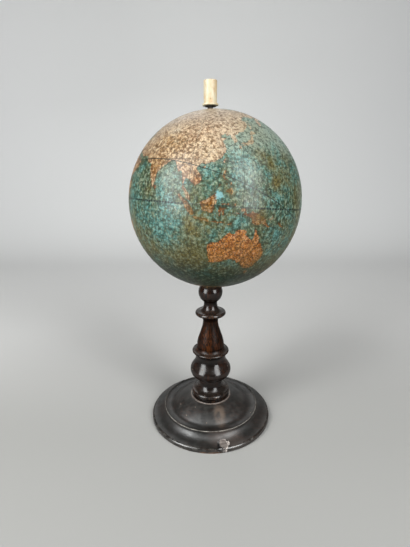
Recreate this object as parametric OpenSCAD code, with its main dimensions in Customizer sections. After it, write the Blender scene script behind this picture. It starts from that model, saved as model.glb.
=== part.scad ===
// Terrestrial table globe: a paper-covered ball that turns on an iron rod above a turned wooden stand.
// Frame: origin at the centre of the foot's underside, +Z up along the rod, -Y towards the viewer.

/* [Ball] */
// Outside diameter of the finished ball, over the paper
ball_d = 130; // [115:1:145]
// How far the ball's centre sits off the rod, towards +X
ball_offset = 3.3; // [0:0.1:4]
// Thickness of the printed paper
paper_t = 0.3; // [0.2:0.05:0.5]
// Thickness of the plaster coat under the paper
plaster_t = 1.2; // [0.9:0.1:2]
// Wall of each papier-mache half shell
shell_t = 3; // [2:0.1:5]
// Width of the strip that covers the shells' joint
band_w = 14; // [8:1:24]
// Thickness of the strip that covers the shells' joint
band_t = 0.5; // [0.3:0.05:0.8]
// Gap left between two neighbouring gores, along the equator
gore_gap = 0.1; // [0.05:0.05:0.4]
// Diameter of the round paper cap at each pole
calotte_d = 28; // [25:0.5:34]

/* [Map] */
// Lean of the map's axis away from the rod, in degrees
map_tilt = 5.3; // [0:0.1:6]
// Compass direction of that lean, in degrees from +X
map_tilt_dir = 40; // [0:1:359]
// Turn of the map about its own axis: direction of its zero meridian, in degrees
map_spin = 133.5; // [0:0.1:360]

/* [Mast] */
// Diameter of the post inside the ball
mast_d = 14; // [11:0.5:20]
// Diameter of the post's flared ends, which carry the shells
mast_end_d = 28; // [24:1:36]
// Length of each flared end
mast_end_h = 18; // [12:1:26]
// Diameter of the post's tips, which pass through shell and paper
mast_tip_d = 7; // [6.4:0.1:7.4]
// How far the tips stand proud of the paper
mast_proud = 0.15; // [0.1:0.05:0.6]

/* [Rod and knob] */
// Diameter of the rod
rod_d = 3.8; // [3.4:0.1:4.6]
// Depth that the rod is driven into the column
rod_seat = 34; // [24:1:50]
// Diameter of the rod's stepped tip, on which the knob is screwed
rod_tip_d = 2.8; // [2.2:0.1:3.2]
// Length of the rod's stepped tip
rod_tip_l = 11; // [8:0.5:13]
// Diameter of the loose washer under the globe
bearing_d = 13; // [11:0.5:15]
// Thickness of the loose washer under the globe
bearing_t = 1; // [0.6:0.1:2]
// Height by which the globe can be lifted before it meets the knob
lift_play = 1.6; // [0.8:0.1:3]
// Diameter of the knob's plain body
knob_d = 9.5; // [8:0.1:12]
// Height of the knob, flange and all
knob_h = 16; // [14:0.5:22]
// Width of the rim round the knob's dished top
knob_rim = 1.2; // [0.8:0.1:1.8]
// How far the flange at the knob's foot stands out from its body
flange_out = 1; // [0.5:0.1:1.8]
// Height of that flange
flange_h = 1.4; // [1:0.1:2.5]
// Diameter of the dark washer under the knob
knob_washer_d = 8; // [6:0.1:10]
// Thickness of the dark washer under the knob
knob_washer_t = 0.6; // [0.4:0.1:1.5]

/* [Foot] */
// Diameter of the foot over its rim
foot_d = 108; // [100:1:124]
// Height of the foot's central lip above the table
foot_h = 20.8; // [19:0.1:24]
// Height of the rounded rim
rim_h = 4.6; // [3.6:0.1:6]
// Rounding of the rim's upper edge
rim_round = 1.7; // [1:0.1:2]
// Rounding of the rim's lower edge
rim_foot_round = 1; // [0.5:0.1:1.5]
// Width of the flat inside the rounded rim
rim_flat = 0.9; // [0.4:0.1:2]
// Diameter of the crest ring
crest_d = 84.8; // [80:0.2:88]
// Height of the crest ring
crest_h = 12.3; // [11.5:0.1:13]
// Drop of the small step outside the crest
crest_step = 1.2; // [0.6:0.1:2]
// Width of the shallow hollow inside the crest
hollow_w = 8.4; // [6:0.2:11]
// Depth of that hollow below the crest
hollow_depth = 1.3; // [0.6:0.1:2]
// Height of the dome's outer edge above the bottom of the hollow
dome_step = 1.1; // [0.6:0.1:1.6]
// How far the dome swells above a straight slope
dome_bow = 1; // [0.4:0.1:2]
// Width of the sharp lip round the column
lip_w = 0.7; // [0.4:0.1:1.2]
// Gap between the lip and the column's base
lip_gap = 1.3; // [0.8:0.1:2]
// Depth of the seat inside the lip
seat_depth = 0.7; // [0.4:0.1:2]
// Width of the ring on which the foot rests
rest_w = 12; // [8:0.5:16]
// Depth of the hollowed underside
recess_h = 3; // [1.5:0.1:4.5]
// Diameter of the column's tenon in the foot
tenon_d = 14; // [12:0.5:18]
// Length of that tenon
tenon_l = 13; // [10:0.5:14]

/* [Column] */
// Diameter of the plain base inside the lip
base_d = 31.2; // [26:0.2:32]
// Height of that plain base
base_h = 3; // [2:0.1:7]
// How far the base bead swells beyond the plain base
base_bead = 1.4; // [0.8:0.1:2]
// Height of the base bead
base_bead_h = 3.8; // [3:0.1:5]
// Width of the little step above the base bead
quirk = 0.4; // [0.2:0.1:0.7]
// Diameter of the lower neck
neck_d = 20; // [17:0.2:22]
// Height of the flare from the base bead up to the lower neck
flare_h = 6.9; // [4:0.1:9]
// Height of the lower neck
neck_h = 5.4; // [3:0.1:8]
// Diameter of the large bead
bead_d = 36.2; // [32:0.2:42]
// Height of the large bead's lower half
bead_h = 7.7; // [6:0.1:10.5]
// Height of the bead's upper half, which narrows into the throat
bead_top_h = 11.5; // [9:0.1:15]
// Diameter of the throat between the bead and the collar
throat_d = 26.4; // [22:0.2:27]
// Height of the cove between the throat and the collar
cove_h = 5.6; // [3:0.1:8]
// Diameter of the collar
collar_d = 32.2; // [30:0.2:38]
// Thickness of the collar's rounded edge
collar_t = 2.1; // [1.2:0.1:3]
// Height of the slope from the collar up to the vase
collar_slope = 4; // [2:0.1:6]
// Diameter of the vase at its foot
vase_d = 23.6; // [20:0.2:28]
// Height of the vase
vase_h = 24; // [18:0.1:32]
// Diameter of the upper neck, at the top of the vase
upper_neck_d = 12.8; // [11:0.2:15]
// Height of the cove under the thin disc
disc_cove_h = 4.9; // [3:0.1:7]
// Diameter of the thin disc
disc_d = 26; // [23:0.2:32]
// Thickness of the disc's rounded edge
disc_t = 3.6; // [2:0.1:4.5]
// Height of the sweep from the disc up to the finial's neck
sweep_h = 6.4; // [4:0.1:9]
// Diameter of the finial's neck
finial_neck_d = 11.2; // [9:0.2:13]
// Height of the finial's neck
finial_neck_h = 1.8; // [1:0.1:4]
// Diameter of the finial ball
finial_d = 20.2; // [18.6:0.2:25]
// Height of the finial's flat top above the finial's centre
finial_top = 5.9; // [4:0.1:6.5]

/* [Fits] */
// Clearance round a running shaft, on the radius
running_gap = 0.08; // [0.03:0.01:0.1]
// Gap under a face that rests on another piece
rest_gap = 0.05; // [0.02:0.01:0.1]
// Clearance round a glued tenon or tip, on the radius
glue_gap = 0.05; // [0.02:0.01:0.15]

/* [Hidden] */
$fn = 96;
gore_count = 12;
// Steps along a quarter of a turned curve
steps = 12;
// Slack that carries a cut past a face
over = 1;
// Heights of the stand, from the table up
seat_z = foot_h - seat_depth;
base_top = seat_z + base_h;
base_bead_z = base_top + base_bead_h / 2;
flare_z = base_top + base_bead_h;
neck_z = flare_z + flare_h;
bead_foot = neck_z + neck_h;
bead_z = bead_foot + bead_h;
cove_z = bead_z + bead_top_h;
collar_z = cove_z + cove_h + collar_t / 2;
vase_z = collar_z + collar_t / 2 + collar_slope;
disc_cove_z = vase_z + vase_h;
disc_z = disc_cove_z + disc_cove_h + disc_t / 2;
sweep_z = disc_z + disc_t / 2;
finial_neck_z = sweep_z + sweep_h;
finial_r = finial_d / 2;
finial_neck_r = finial_neck_d / 2;
// The neck meets the finial ball where the ball is this much wider than the neck
finial_meet_r = finial_neck_r + 0.6;
finial_z = finial_neck_z + finial_neck_h + sqrt(pow(finial_r, 2) - pow(finial_meet_r, 2)) + 0.8;
column_top = finial_z + finial_top;
// Heights of the ball, the rod and the knob
ball_r = ball_d / 2;
mast_foot = column_top + bearing_t + rest_gap;
ball_z = mast_foot + mast_proud + ball_r;
mast_head = ball_z + ball_r + mast_proud;
shoulder_z = mast_head + lift_play;
knob_washer_z = shoulder_z + rest_gap;
knob_z = knob_washer_z + knob_washer_t;
rod_foot = column_top - rod_seat;
rod_head = shoulder_z + rod_tip_l;
// Radii of the ball's layers
plaster_r = ball_r - paper_t;
shell_r = plaster_r - plaster_t;
hollow_r = shell_r - shell_t;
mast_hole_r = mast_tip_d / 2 + glue_gap;
calotte_angle = asin(calotte_d / ball_d);
gore_angle = 360 / gore_count - gore_gap / ball_r * 180 / PI;
// Radii of the foot
foot_r = foot_d / 2;
crest_r = crest_d / 2;
lip_in_r = base_d / 2 + lip_gap;
dome_in_r = lip_in_r + lip_w;
dome_out_r = crest_r - hollow_w;
rim_in_r = foot_r - rim_round - rim_flat;
hollow_z = crest_h - hollow_depth;
// A cone of this depth runs from the foot's recess out to the resting ring
recess_slope = 1.2;

// Points of an elliptic arc from angle t0 to t1, without its first point when first = 1
function arc(r, z, a, b, t0, t1, first = 0, n = steps) =
    [for (i = [first:n]) let (t = t0 + (t1 - t0) * i / n) [r + a * cos(t), z + b * sin(t)]];

// Points of a smooth swell from radius r0 at z0 to r1 at z1, both ends left out
function swell(r0, z0, r1, z1, n = 2 * steps) =
    [for (i = [1:n - 1]) [r1 + (r0 - r1) * (1 + cos(180 * i / n)) / 2, z0 + (z1 - z0) * i / n]];

// Points of a shallow curve from radius r0 at z0 to r1 at z1 that rises above the straight line, first one left out
function bow(r0, z0, r1, z1, rise, n = steps) =
    let (l = norm([r1 - r0, z1 - z0]))
    [for (i = [1:n]) let (t = i / n, h = 4 * rise * t * (1 - t))
        [r0 + (r1 - r0) * t + (z1 - z0) / l * h, z0 + (z1 - z0) * t - (r1 - r0) / l * h]];

// Half outline of the foot: underside, rim, cavetto, crest, hollow, dome, lip and seat
module foot_outline() {
    bore_r = tenon_d / 2 + glue_gap;
    rest_in_r = foot_r - rim_foot_round - rest_w;
    step_z = crest_h - crest_step;
    // The hollow's lowest point lies this share of the way in from the crest
    hollow_mid_r = crest_r - hollow_w * 0.6;
    polygon(concat(
        [[bore_r, recess_h], [rest_in_r - recess_slope, recess_h], [rest_in_r, 0]],
        arc(foot_r - rim_foot_round, rim_foot_round, rim_foot_round, rim_foot_round, -90, 0, 0, 4),
        arc(foot_r - rim_round, rim_h - rim_round, rim_round, rim_round, 0, 90, 0, 6),
        [[rim_in_r, rim_h]],
        arc(rim_in_r, step_z, crest_r - rim_in_r - 0.2, rim_h - step_z, 90, 0, 1),
        [[crest_r, step_z + 0.3], [crest_r, crest_h - 0.2], [crest_r - 0.3, crest_h]],
        arc(hollow_mid_r, crest_h, crest_r - 0.3 - hollow_mid_r, -hollow_depth, 0, 90, 1, 6),
        bow(hollow_mid_r, hollow_z, dome_out_r, hollow_z + dome_step, -dome_step / 4, 6),
        bow(dome_out_r, hollow_z + dome_step, dome_in_r, foot_h, dome_bow),
        [[lip_in_r, foot_h], [lip_in_r, seat_z], [bore_r, seat_z]]
    ));
}

module foot() {
    color("#39332f") rotate_extrude() foot_outline();
}

// Half outline of the column, from the tenon's foot to the finial's flat top
module column_outline() {
    base_r = base_d / 2;
    neck_r = neck_d / 2;
    bead_in_r = neck_r + 0.8;
    bead_r = bead_d / 2;
    throat_r = throat_d / 2;
    collar_in_r = collar_d / 2 - collar_t / 2;
    vase_r = vase_d / 2;
    upper_neck_r = upper_neck_d / 2;
    disc_in_r = disc_d / 2 - disc_t / 2;
    flare_r = base_r + base_bead - quirk * 2;
    polygon(concat(
        [[0, seat_z - tenon_l], [tenon_d / 2 - 0.6, seat_z - tenon_l], [tenon_d / 2, seat_z - tenon_l + 0.6]],
        [[tenon_d / 2, seat_z], [base_r, seat_z]],
        arc(base_r, base_bead_z, base_bead, base_bead_h / 2, -90, 90),
        [[flare_r, flare_z]],
        arc(flare_r, neck_z, neck_r - flare_r, quirk - flare_h, 90, 0),
        [[neck_r, bead_foot]],
        arc(bead_in_r, bead_z, bead_r - bead_in_r, bead_h, -90, 0),
        swell(bead_r, bead_z, throat_r, cove_z),
        arc(collar_in_r, cove_z, throat_r - collar_in_r, cove_h, 0, 90),
        arc(collar_in_r, collar_z, collar_t / 2, collar_t / 2, -90, 90, 1, 8),
        arc(collar_in_r, vase_z, vase_r - collar_in_r, -collar_slope, 90, 0, 1, 8),
        swell(vase_r, vase_z, upper_neck_r, disc_cove_z),
        arc(disc_in_r, disc_cove_z, upper_neck_r - disc_in_r, disc_cove_h, 0, 90),
        arc(disc_in_r, disc_z, disc_t / 2, disc_t / 2, -90, 90, 1, 8),
        arc(disc_in_r, finial_neck_z, finial_neck_r - disc_in_r, -sweep_h, 90, 0, 1),
        [[finial_neck_r, finial_neck_z + finial_neck_h]],
        arc(0, finial_z, finial_r, finial_r, -acos(finial_meet_r / finial_r), asin(finial_top / finial_r),
            0, 2 * steps),
        [[0, column_top]]
    ));
}

module column() {
    color("#2b211c") difference() {
        rotate_extrude() column_outline();
        translate([0, 0, rod_foot]) cylinder(h = rod_seat + over, d = rod_d + 2 * glue_gap);
    }
}

module axis_rod() {
    color("#4a4643") rotate_extrude() polygon([
        [0, rod_foot], [rod_d / 2 - 0.4, rod_foot], [rod_d / 2, rod_foot + 0.4],
        [rod_d / 2, shoulder_z], [rod_tip_d / 2, shoulder_z],
        [rod_tip_d / 2, rod_head - 0.3], [rod_tip_d / 2 - 0.3, rod_head], [0, rod_head]
    ]);
}

// A flat washer with its outer edges broken
module washer(d, bore, t, z) {
    edge = t / 5;
    translate([0, 0, z]) rotate_extrude() polygon([
        [bore / 2, 0], [d / 2 - edge, 0], [d / 2, edge], [d / 2, t - edge], [d / 2 - edge, t], [bore / 2, t]
    ]);
}

module thrust_washer() {
    color("#7d6a3c") washer(bearing_d, rod_d + 2 * running_gap, bearing_t - rest_gap, column_top + rest_gap);
}

// Puts what is drawn about the map's own centre and axis into its place on the stand
module on_map_axis() {
    translate([ball_offset, 0, ball_z])
        rotate([0, 0, map_tilt_dir])
            rotate([0, map_tilt, 0])
                rotate([0, 0, map_spin - map_tilt_dir]) children();
}

// The way through the ball's layers for the mast's tips
module mast_way() {
    translate([0, 0, ball_z - ball_r - over]) cylinder(h = ball_d + 2 * over, r = mast_hole_r);
}

module mast() {
    end_r = mast_end_d / 2;
    post_r = mast_d / 2;
    low = ball_z - ball_r;
    high = ball_z + ball_r;
    color("#a5804f") difference() {
        union() {
            translate([0, 0, mast_foot]) cylinder(h = mast_head - mast_foot, d = mast_tip_d);
            intersection() {
                rotate_extrude() polygon(concat(
                    [[0, low], [end_r, low]],
                    arc(end_r, low + mast_end_h, post_r - end_r, -mast_end_h / 3, 90, 0),
                    arc(end_r, high - mast_end_h, post_r - end_r, mast_end_h / 3, 0, 90),
                    [[end_r, high], [0, high]]
                ));
                translate([ball_offset, 0, ball_z]) sphere(r = hollow_r);
            }
        }
        translate([0, 0, mast_foot - over])
            cylinder(h = mast_head - mast_foot + 2 * over, r = rod_d / 2 + running_gap);
    }
}

// Half of a papier-mache shell: side = 1 is the northern one
module hemisphere(side) {
    difference() {
        on_map_axis() rotate_extrude() intersection() {
            difference() {
                circle(r = shell_r);
                circle(r = hollow_r);
            }
            translate([0, side > 0 ? 0 : -ball_r]) square([ball_r, ball_r]);
        }
        mast_way();
    }
}

module north_hemisphere() {
    color("#b9a88a") hemisphere(1);
}

module south_hemisphere() {
    color("#a89778") hemisphere(-1);
}

module band_outline() {
    intersection() {
        difference() {
            circle(r = shell_r + band_t);
            circle(r = shell_r);
        }
        translate([0, -band_w / 2]) square([ball_r, band_w]);
    }
}

module seam_band() {
    color("#c9bfa5") on_map_axis() rotate_extrude() band_outline();
}

module plaster_coat() {
    color("#dcd8cc") difference() {
        on_map_axis() rotate_extrude() difference() {
            circle(r = plaster_r);
            circle(r = shell_r);
            band_outline();
            translate([-ball_r, -ball_r]) square([ball_r, ball_d]);
        }
        mast_way();
    }
}

// Half ring of paper thickness between two angles from the pole
module paper_outline(from, to) {
    far = 2 * ball_r;
    intersection() {
        difference() {
            circle(r = ball_r);
            circle(r = plaster_r);
        }
        polygon(concat([[0, 0]], [for (t = [from, (from + to) / 2, to]) [far * sin(t), far * cos(t)]]));
    }
}

// One printed gore, the i-th of the twelve
module gore(i) {
    color(i % 2 == 0 ? "#5d8f8c" : "#4c7d7b") difference() {
        on_map_axis() rotate([0, 0, 360 / gore_count * (i - 1)])
            rotate_extrude(angle = gore_angle) paper_outline(calotte_angle, 180 - calotte_angle);
        mast_way();
    }
}

module calotte(side) {
    difference() {
        on_map_axis() mirror([0, 0, side > 0 ? 0 : 1])
            rotate_extrude() paper_outline(0, calotte_angle);
        mast_way();
    }
}

module north_calotte() {
    color("#a8977c") calotte(1);
}

module south_calotte() {
    color("#5b6b50") calotte(-1);
}

module knob() {
    edge = 0.5;
    knob_r = knob_d / 2;
    flange_r = knob_r + flange_out;
    dish_r = knob_r - knob_rim;
    color("#efe3c4") difference() {
        translate([0, 0, knob_z]) rotate_extrude() polygon(concat(
            [[0, 0], [flange_r - 0.3, 0], [flange_r, 0.3]],
            arc(flange_r - edge, flange_h - edge, edge, edge, 0, 90, 0, 4),
            [[knob_r, flange_h + 0.2]],
            arc(knob_r - edge, knob_h - edge, edge, edge, 0, 90, 0, 4),
            [[dish_r, knob_h], [dish_r - 0.2, knob_h - 0.2], [0, knob_h - 0.2]]
        ));
        translate([0, 0, knob_z - over])
            cylinder(h = rod_head - knob_z + over + 0.5, d = rod_tip_d + 2 * running_gap);
    }
}

module knob_washer() {
    color("#2a2420") washer(knob_washer_d, rod_tip_d + 2 * running_gap, knob_washer_t, knob_washer_z);
}

foot();
column();
axis_rod();
thrust_washer();
mast();
north_hemisphere();
south_hemisphere();
seam_band();
plaster_coat();
gore(1);  // gore_01
gore(2);  // gore_02
gore(3);  // gore_03
gore(4);  // gore_04
gore(5);  // gore_05
gore(6);  // gore_06
gore(7);  // gore_07
gore(8);  // gore_08
gore(9);  // gore_09
gore(10);  // gore_10
gore(11);  // gore_11
gore(12);  // gore_12
north_calotte();
south_calotte();
knob();
knob_washer();
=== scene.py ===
"""Looks of a terrestrial table globe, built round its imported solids.

Everything is in metres in the solids' own frame: the origin is the centre of the foot's underside,
+Z runs up the rod and the viewer stands towards -Y.
"""

import logging
import math
from dataclasses import dataclass
from enum import Enum

import bmesh
import bpy
import numpy as np
from mathutils import Euler, Matrix, Vector


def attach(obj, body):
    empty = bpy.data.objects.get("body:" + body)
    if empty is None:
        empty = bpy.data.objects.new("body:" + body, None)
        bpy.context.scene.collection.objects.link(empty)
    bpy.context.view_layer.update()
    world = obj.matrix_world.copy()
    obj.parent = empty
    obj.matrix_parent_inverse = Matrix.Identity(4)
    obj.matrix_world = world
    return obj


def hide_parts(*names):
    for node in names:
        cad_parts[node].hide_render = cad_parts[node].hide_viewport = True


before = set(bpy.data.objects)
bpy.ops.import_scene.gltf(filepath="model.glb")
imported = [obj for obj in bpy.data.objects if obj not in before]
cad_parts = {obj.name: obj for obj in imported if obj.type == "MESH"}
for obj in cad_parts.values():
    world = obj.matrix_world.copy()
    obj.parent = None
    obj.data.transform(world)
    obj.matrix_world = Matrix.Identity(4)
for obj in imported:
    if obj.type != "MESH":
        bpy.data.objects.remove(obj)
log = logging.getLogger("globe")

MM = 0.001
# How many millimetres one degree takes on the ball, and the map's named circles in degrees
DEGREE_MM = 1.134
TROPIC, POLAR_CIRCLE, OBLIQUITY = 23.4, 66.6, 23.44
# Direction of the foot's old split in degrees, seen from above
SPLIT_AT = -6.5

Socket = bpy.types.NodeSocket
Outline = list[tuple[float, float]]
Triple = tuple[float, float, float]

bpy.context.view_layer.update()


def linear(colour: str) -> tuple[float, ...]:
    """Turn an sRGB hex colour into linear light.

    Args:
        colour: the colour as "#rrggbb".

    Returns:
        The three linear channels and a full fourth one.
    """
    parts = [int(colour[i:i + 2], 16) / 255 for i in (1, 3, 5)]
    light = [p / 12.92 if p <= 0.04045 else ((p + 0.055) / 1.055) ** 2.4 for p in parts]
    return (*light, 1.0)


def add_node(tree: bpy.types.NodeTree, kind: str, settings: dict | None = None,
             links: dict | None = None) -> bpy.types.Node:
    """Add one shader node with its settings and links.

    Args:
        tree: the material's node tree.
        kind: the node's type without its ShaderNode prefix.
        settings: the node's own attributes, and values of its inputs by name or number.
        links: the output that feeds each input, by the input's name or number.

    Returns:
        The new node.
    """
    node = tree.nodes.new("ShaderNode" + kind)
    for name, value in (settings or {}).items():
        if isinstance(name, str) and hasattr(node, name):
            setattr(node, name, value)
        else:
            node.inputs[name].default_value = value
    for name, source in (links or {}).items():
        tree.links.new(source, node.inputs[name])
    return node


class Sheet:
    """A material's node tree with short ways to write sums, ramps and mixes."""

    def __init__(self, name: str) -> None:
        """Start an empty material.

        Args:
            name: the material's name.
        """
        self.material = bpy.data.materials.new(name)
        self.material.use_nodes = True
        self.tree = self.material.node_tree
        self.tree.nodes.clear()
        self.place = self.add("TexCoord").outputs["Object"]

    def add(self, kind: str, settings: dict | None = None, links: dict | None = None) -> bpy.types.Node:
        """Add one node, see add_node."""
        return add_node(self.tree, kind, settings, links)

    def math(self, operation: str, *terms: float | Socket, clamp: bool = False) -> Socket:
        """Work out one sum on numbers or sockets.

        Args:
            operation: the Math node's operation.
            terms: up to three numbers or sockets.
            clamp: whether the result is held between 0 and 1.

        Returns:
            The result's socket.
        """
        fixed = {i: t for i, t in enumerate(terms) if isinstance(t, (int, float))}
        fed = {i: t for i, t in enumerate(terms) if not isinstance(t, (int, float))}
        return self.add("Math", {"operation": operation, "use_clamp": clamp, **fixed}, fed).outputs[0]

    def times(self, *terms: float | Socket) -> Socket:
        """Multiply numbers or sockets from left to right."""
        return self.chain("MULTIPLY", terms)

    def plus(self, *terms: float | Socket) -> Socket:
        """Add numbers or sockets from left to right."""
        return self.chain("ADD", terms)

    def most(self, *terms: float | Socket) -> Socket:
        """Take the greatest of numbers or sockets."""
        return self.chain("MAXIMUM", terms)

    def minus(self, first: float | Socket, second: float | Socket) -> Socket:
        """Take the second number or socket from the first."""
        return self.math("SUBTRACT", first, second)

    def size(self, value: Socket) -> Socket:
        """Take a value without its sign."""
        return self.math("ABSOLUTE", value)

    def line(self, value: Socket, factor: float | Socket, offset: float | Socket) -> Socket:
        """Multiply a value by the factor and add the offset."""
        return self.math("MULTIPLY_ADD", value, factor, offset)

    def chain(self, operation: str, terms: tuple[float | Socket, ...]) -> Socket:
        """Put terms together from left to right, two at a time.

        Args:
            operation: the Math node's operation.
            terms: two or more numbers or sockets.

        Returns:
            The result's socket.
        """
        result = terms[0]
        for term in terms[1:]:
            result = self.math(operation, result, term)
        return result

    def axes(self, place: Socket) -> bpy.types.NodeOutputs:
        """Part a place or direction into its X, Y and Z."""
        return self.add("SeparateXYZ", None, {0: place}).outputs

    def painted(self, name: str, output: str = "Fac") -> Socket:
        """Read an attribute that the mesh carries."""
        return self.add("Attribute", {"attribute_name": name}).outputs[output]

    def ramp(self, value: Socket, low: float, high: float, start: float = 0.0, end: float = 1.0) -> Socket:
        """Ease a value smoothly from start at low to end at high.

        Args:
            value: what is read.
            low: where the ramp begins.
            high: where the ramp ends.
            start: the result up to low.
            end: the result from high on.

        Returns:
            The result's socket.
        """
        turned = low > high
        first, last = (high, low) if turned else (low, high)
        a, b = (end, start) if turned else (start, end)
        node = self.add("MapRange", {"interpolation_type": "SMOOTHSTEP", "From Min": first, "From Max": last,
                                     "To Min": a, "To Max": b}, {"Value": value})
        return node.outputs["Result"]

    def mix(self, share: float | Socket, under: str | Socket, over: str | Socket, blend: str = "MIX") -> Socket:
        """Lay one colour over another.

        Args:
            share: how much of the upper colour shows.
            under: the lower colour, as hex or socket.
            over: the upper colour, as hex or socket.
            blend: the Mix node's blend type.

        Returns:
            The mixed colour's socket.
        """
        node = self.add("Mix", {"data_type": "RGBA", "blend_type": blend, "clamp_factor": True})
        for socket, value in ((node.inputs[0], share), (node.inputs[6], under), (node.inputs[7], over)):
            if isinstance(value, Socket):
                self.tree.links.new(value, socket)
            else:
                socket.default_value = linear(value) if isinstance(value, str) else value
        return node.outputs[2]

    def stretched(self, millimetres: Triple, place: Socket | None = None) -> Socket:
        """Scale a place so that one unit is this many millimetres along each axis.

        Args:
            millimetres: the size of one unit along X, Y and Z.
            place: the place to scale, or the object's own.

        Returns:
            The scaled place's socket.
        """
        scale = tuple(1 / (m * MM) for m in millimetres)
        return self.add("Mapping", {"Scale": scale}, {"Vector": place or self.place}).outputs[0]

    def noise(self, place: Socket, detail: float = 4.0, roughness: float = 0.55, distortion: float = 0.0) -> Socket:
        """Read a noise that is one unit across at the given place.

        Args:
            place: a scaled place.
            detail: how many finer layers it has.
            roughness: how strong those layers are.
            distortion: how far it is warped.

        Returns:
            The noise's value, about 0.5 in the mean.
        """
        return self.add("TexNoise", {"Scale": 1.0, "Detail": detail, "Roughness": roughness,
                                     "Distortion": distortion}, {"Vector": place}).outputs["Fac"]

    def cells(self, place: Socket, feature: str = "F1") -> Socket:
        """Read a cell pattern that is one unit across at the given place.

        Args:
            place: a scaled place.
            feature: the Voronoi feature.

        Returns:
            The distance's socket.
        """
        return self.add("TexVoronoi", {"feature": feature, "Scale": 1.0}, {"Vector": place}).outputs["Distance"]

    def bump(self, height: Socket, millimetres: float, below: Socket | None = None) -> Socket:
        """Raise the surface by a height map.

        Args:
            height: the map, from 0 to 1.
            millimetres: how high 1 is.
            below: the normal of an earlier bump.

        Returns:
            The new normal's socket.
        """
        links = {"Height": height}
        if below is not None:
            links["Normal"] = below
        return self.add("Bump", {"Strength": 1.0, "Distance": millimetres * MM}, links).outputs["Normal"]

    def finish(self, fixed: dict, fed: dict) -> bpy.types.Material:
        """Close the material with its shader.

        Args:
            fixed: values set on the shader's own inputs.
            fed: sockets that feed the shader's inputs.

        Returns:
            The finished material.
        """
        shader = self.add("BsdfPrincipled", fixed, fed)
        self.add("OutputMaterial", None, {"Surface": shader.outputs[0]})
        return self.material


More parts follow.
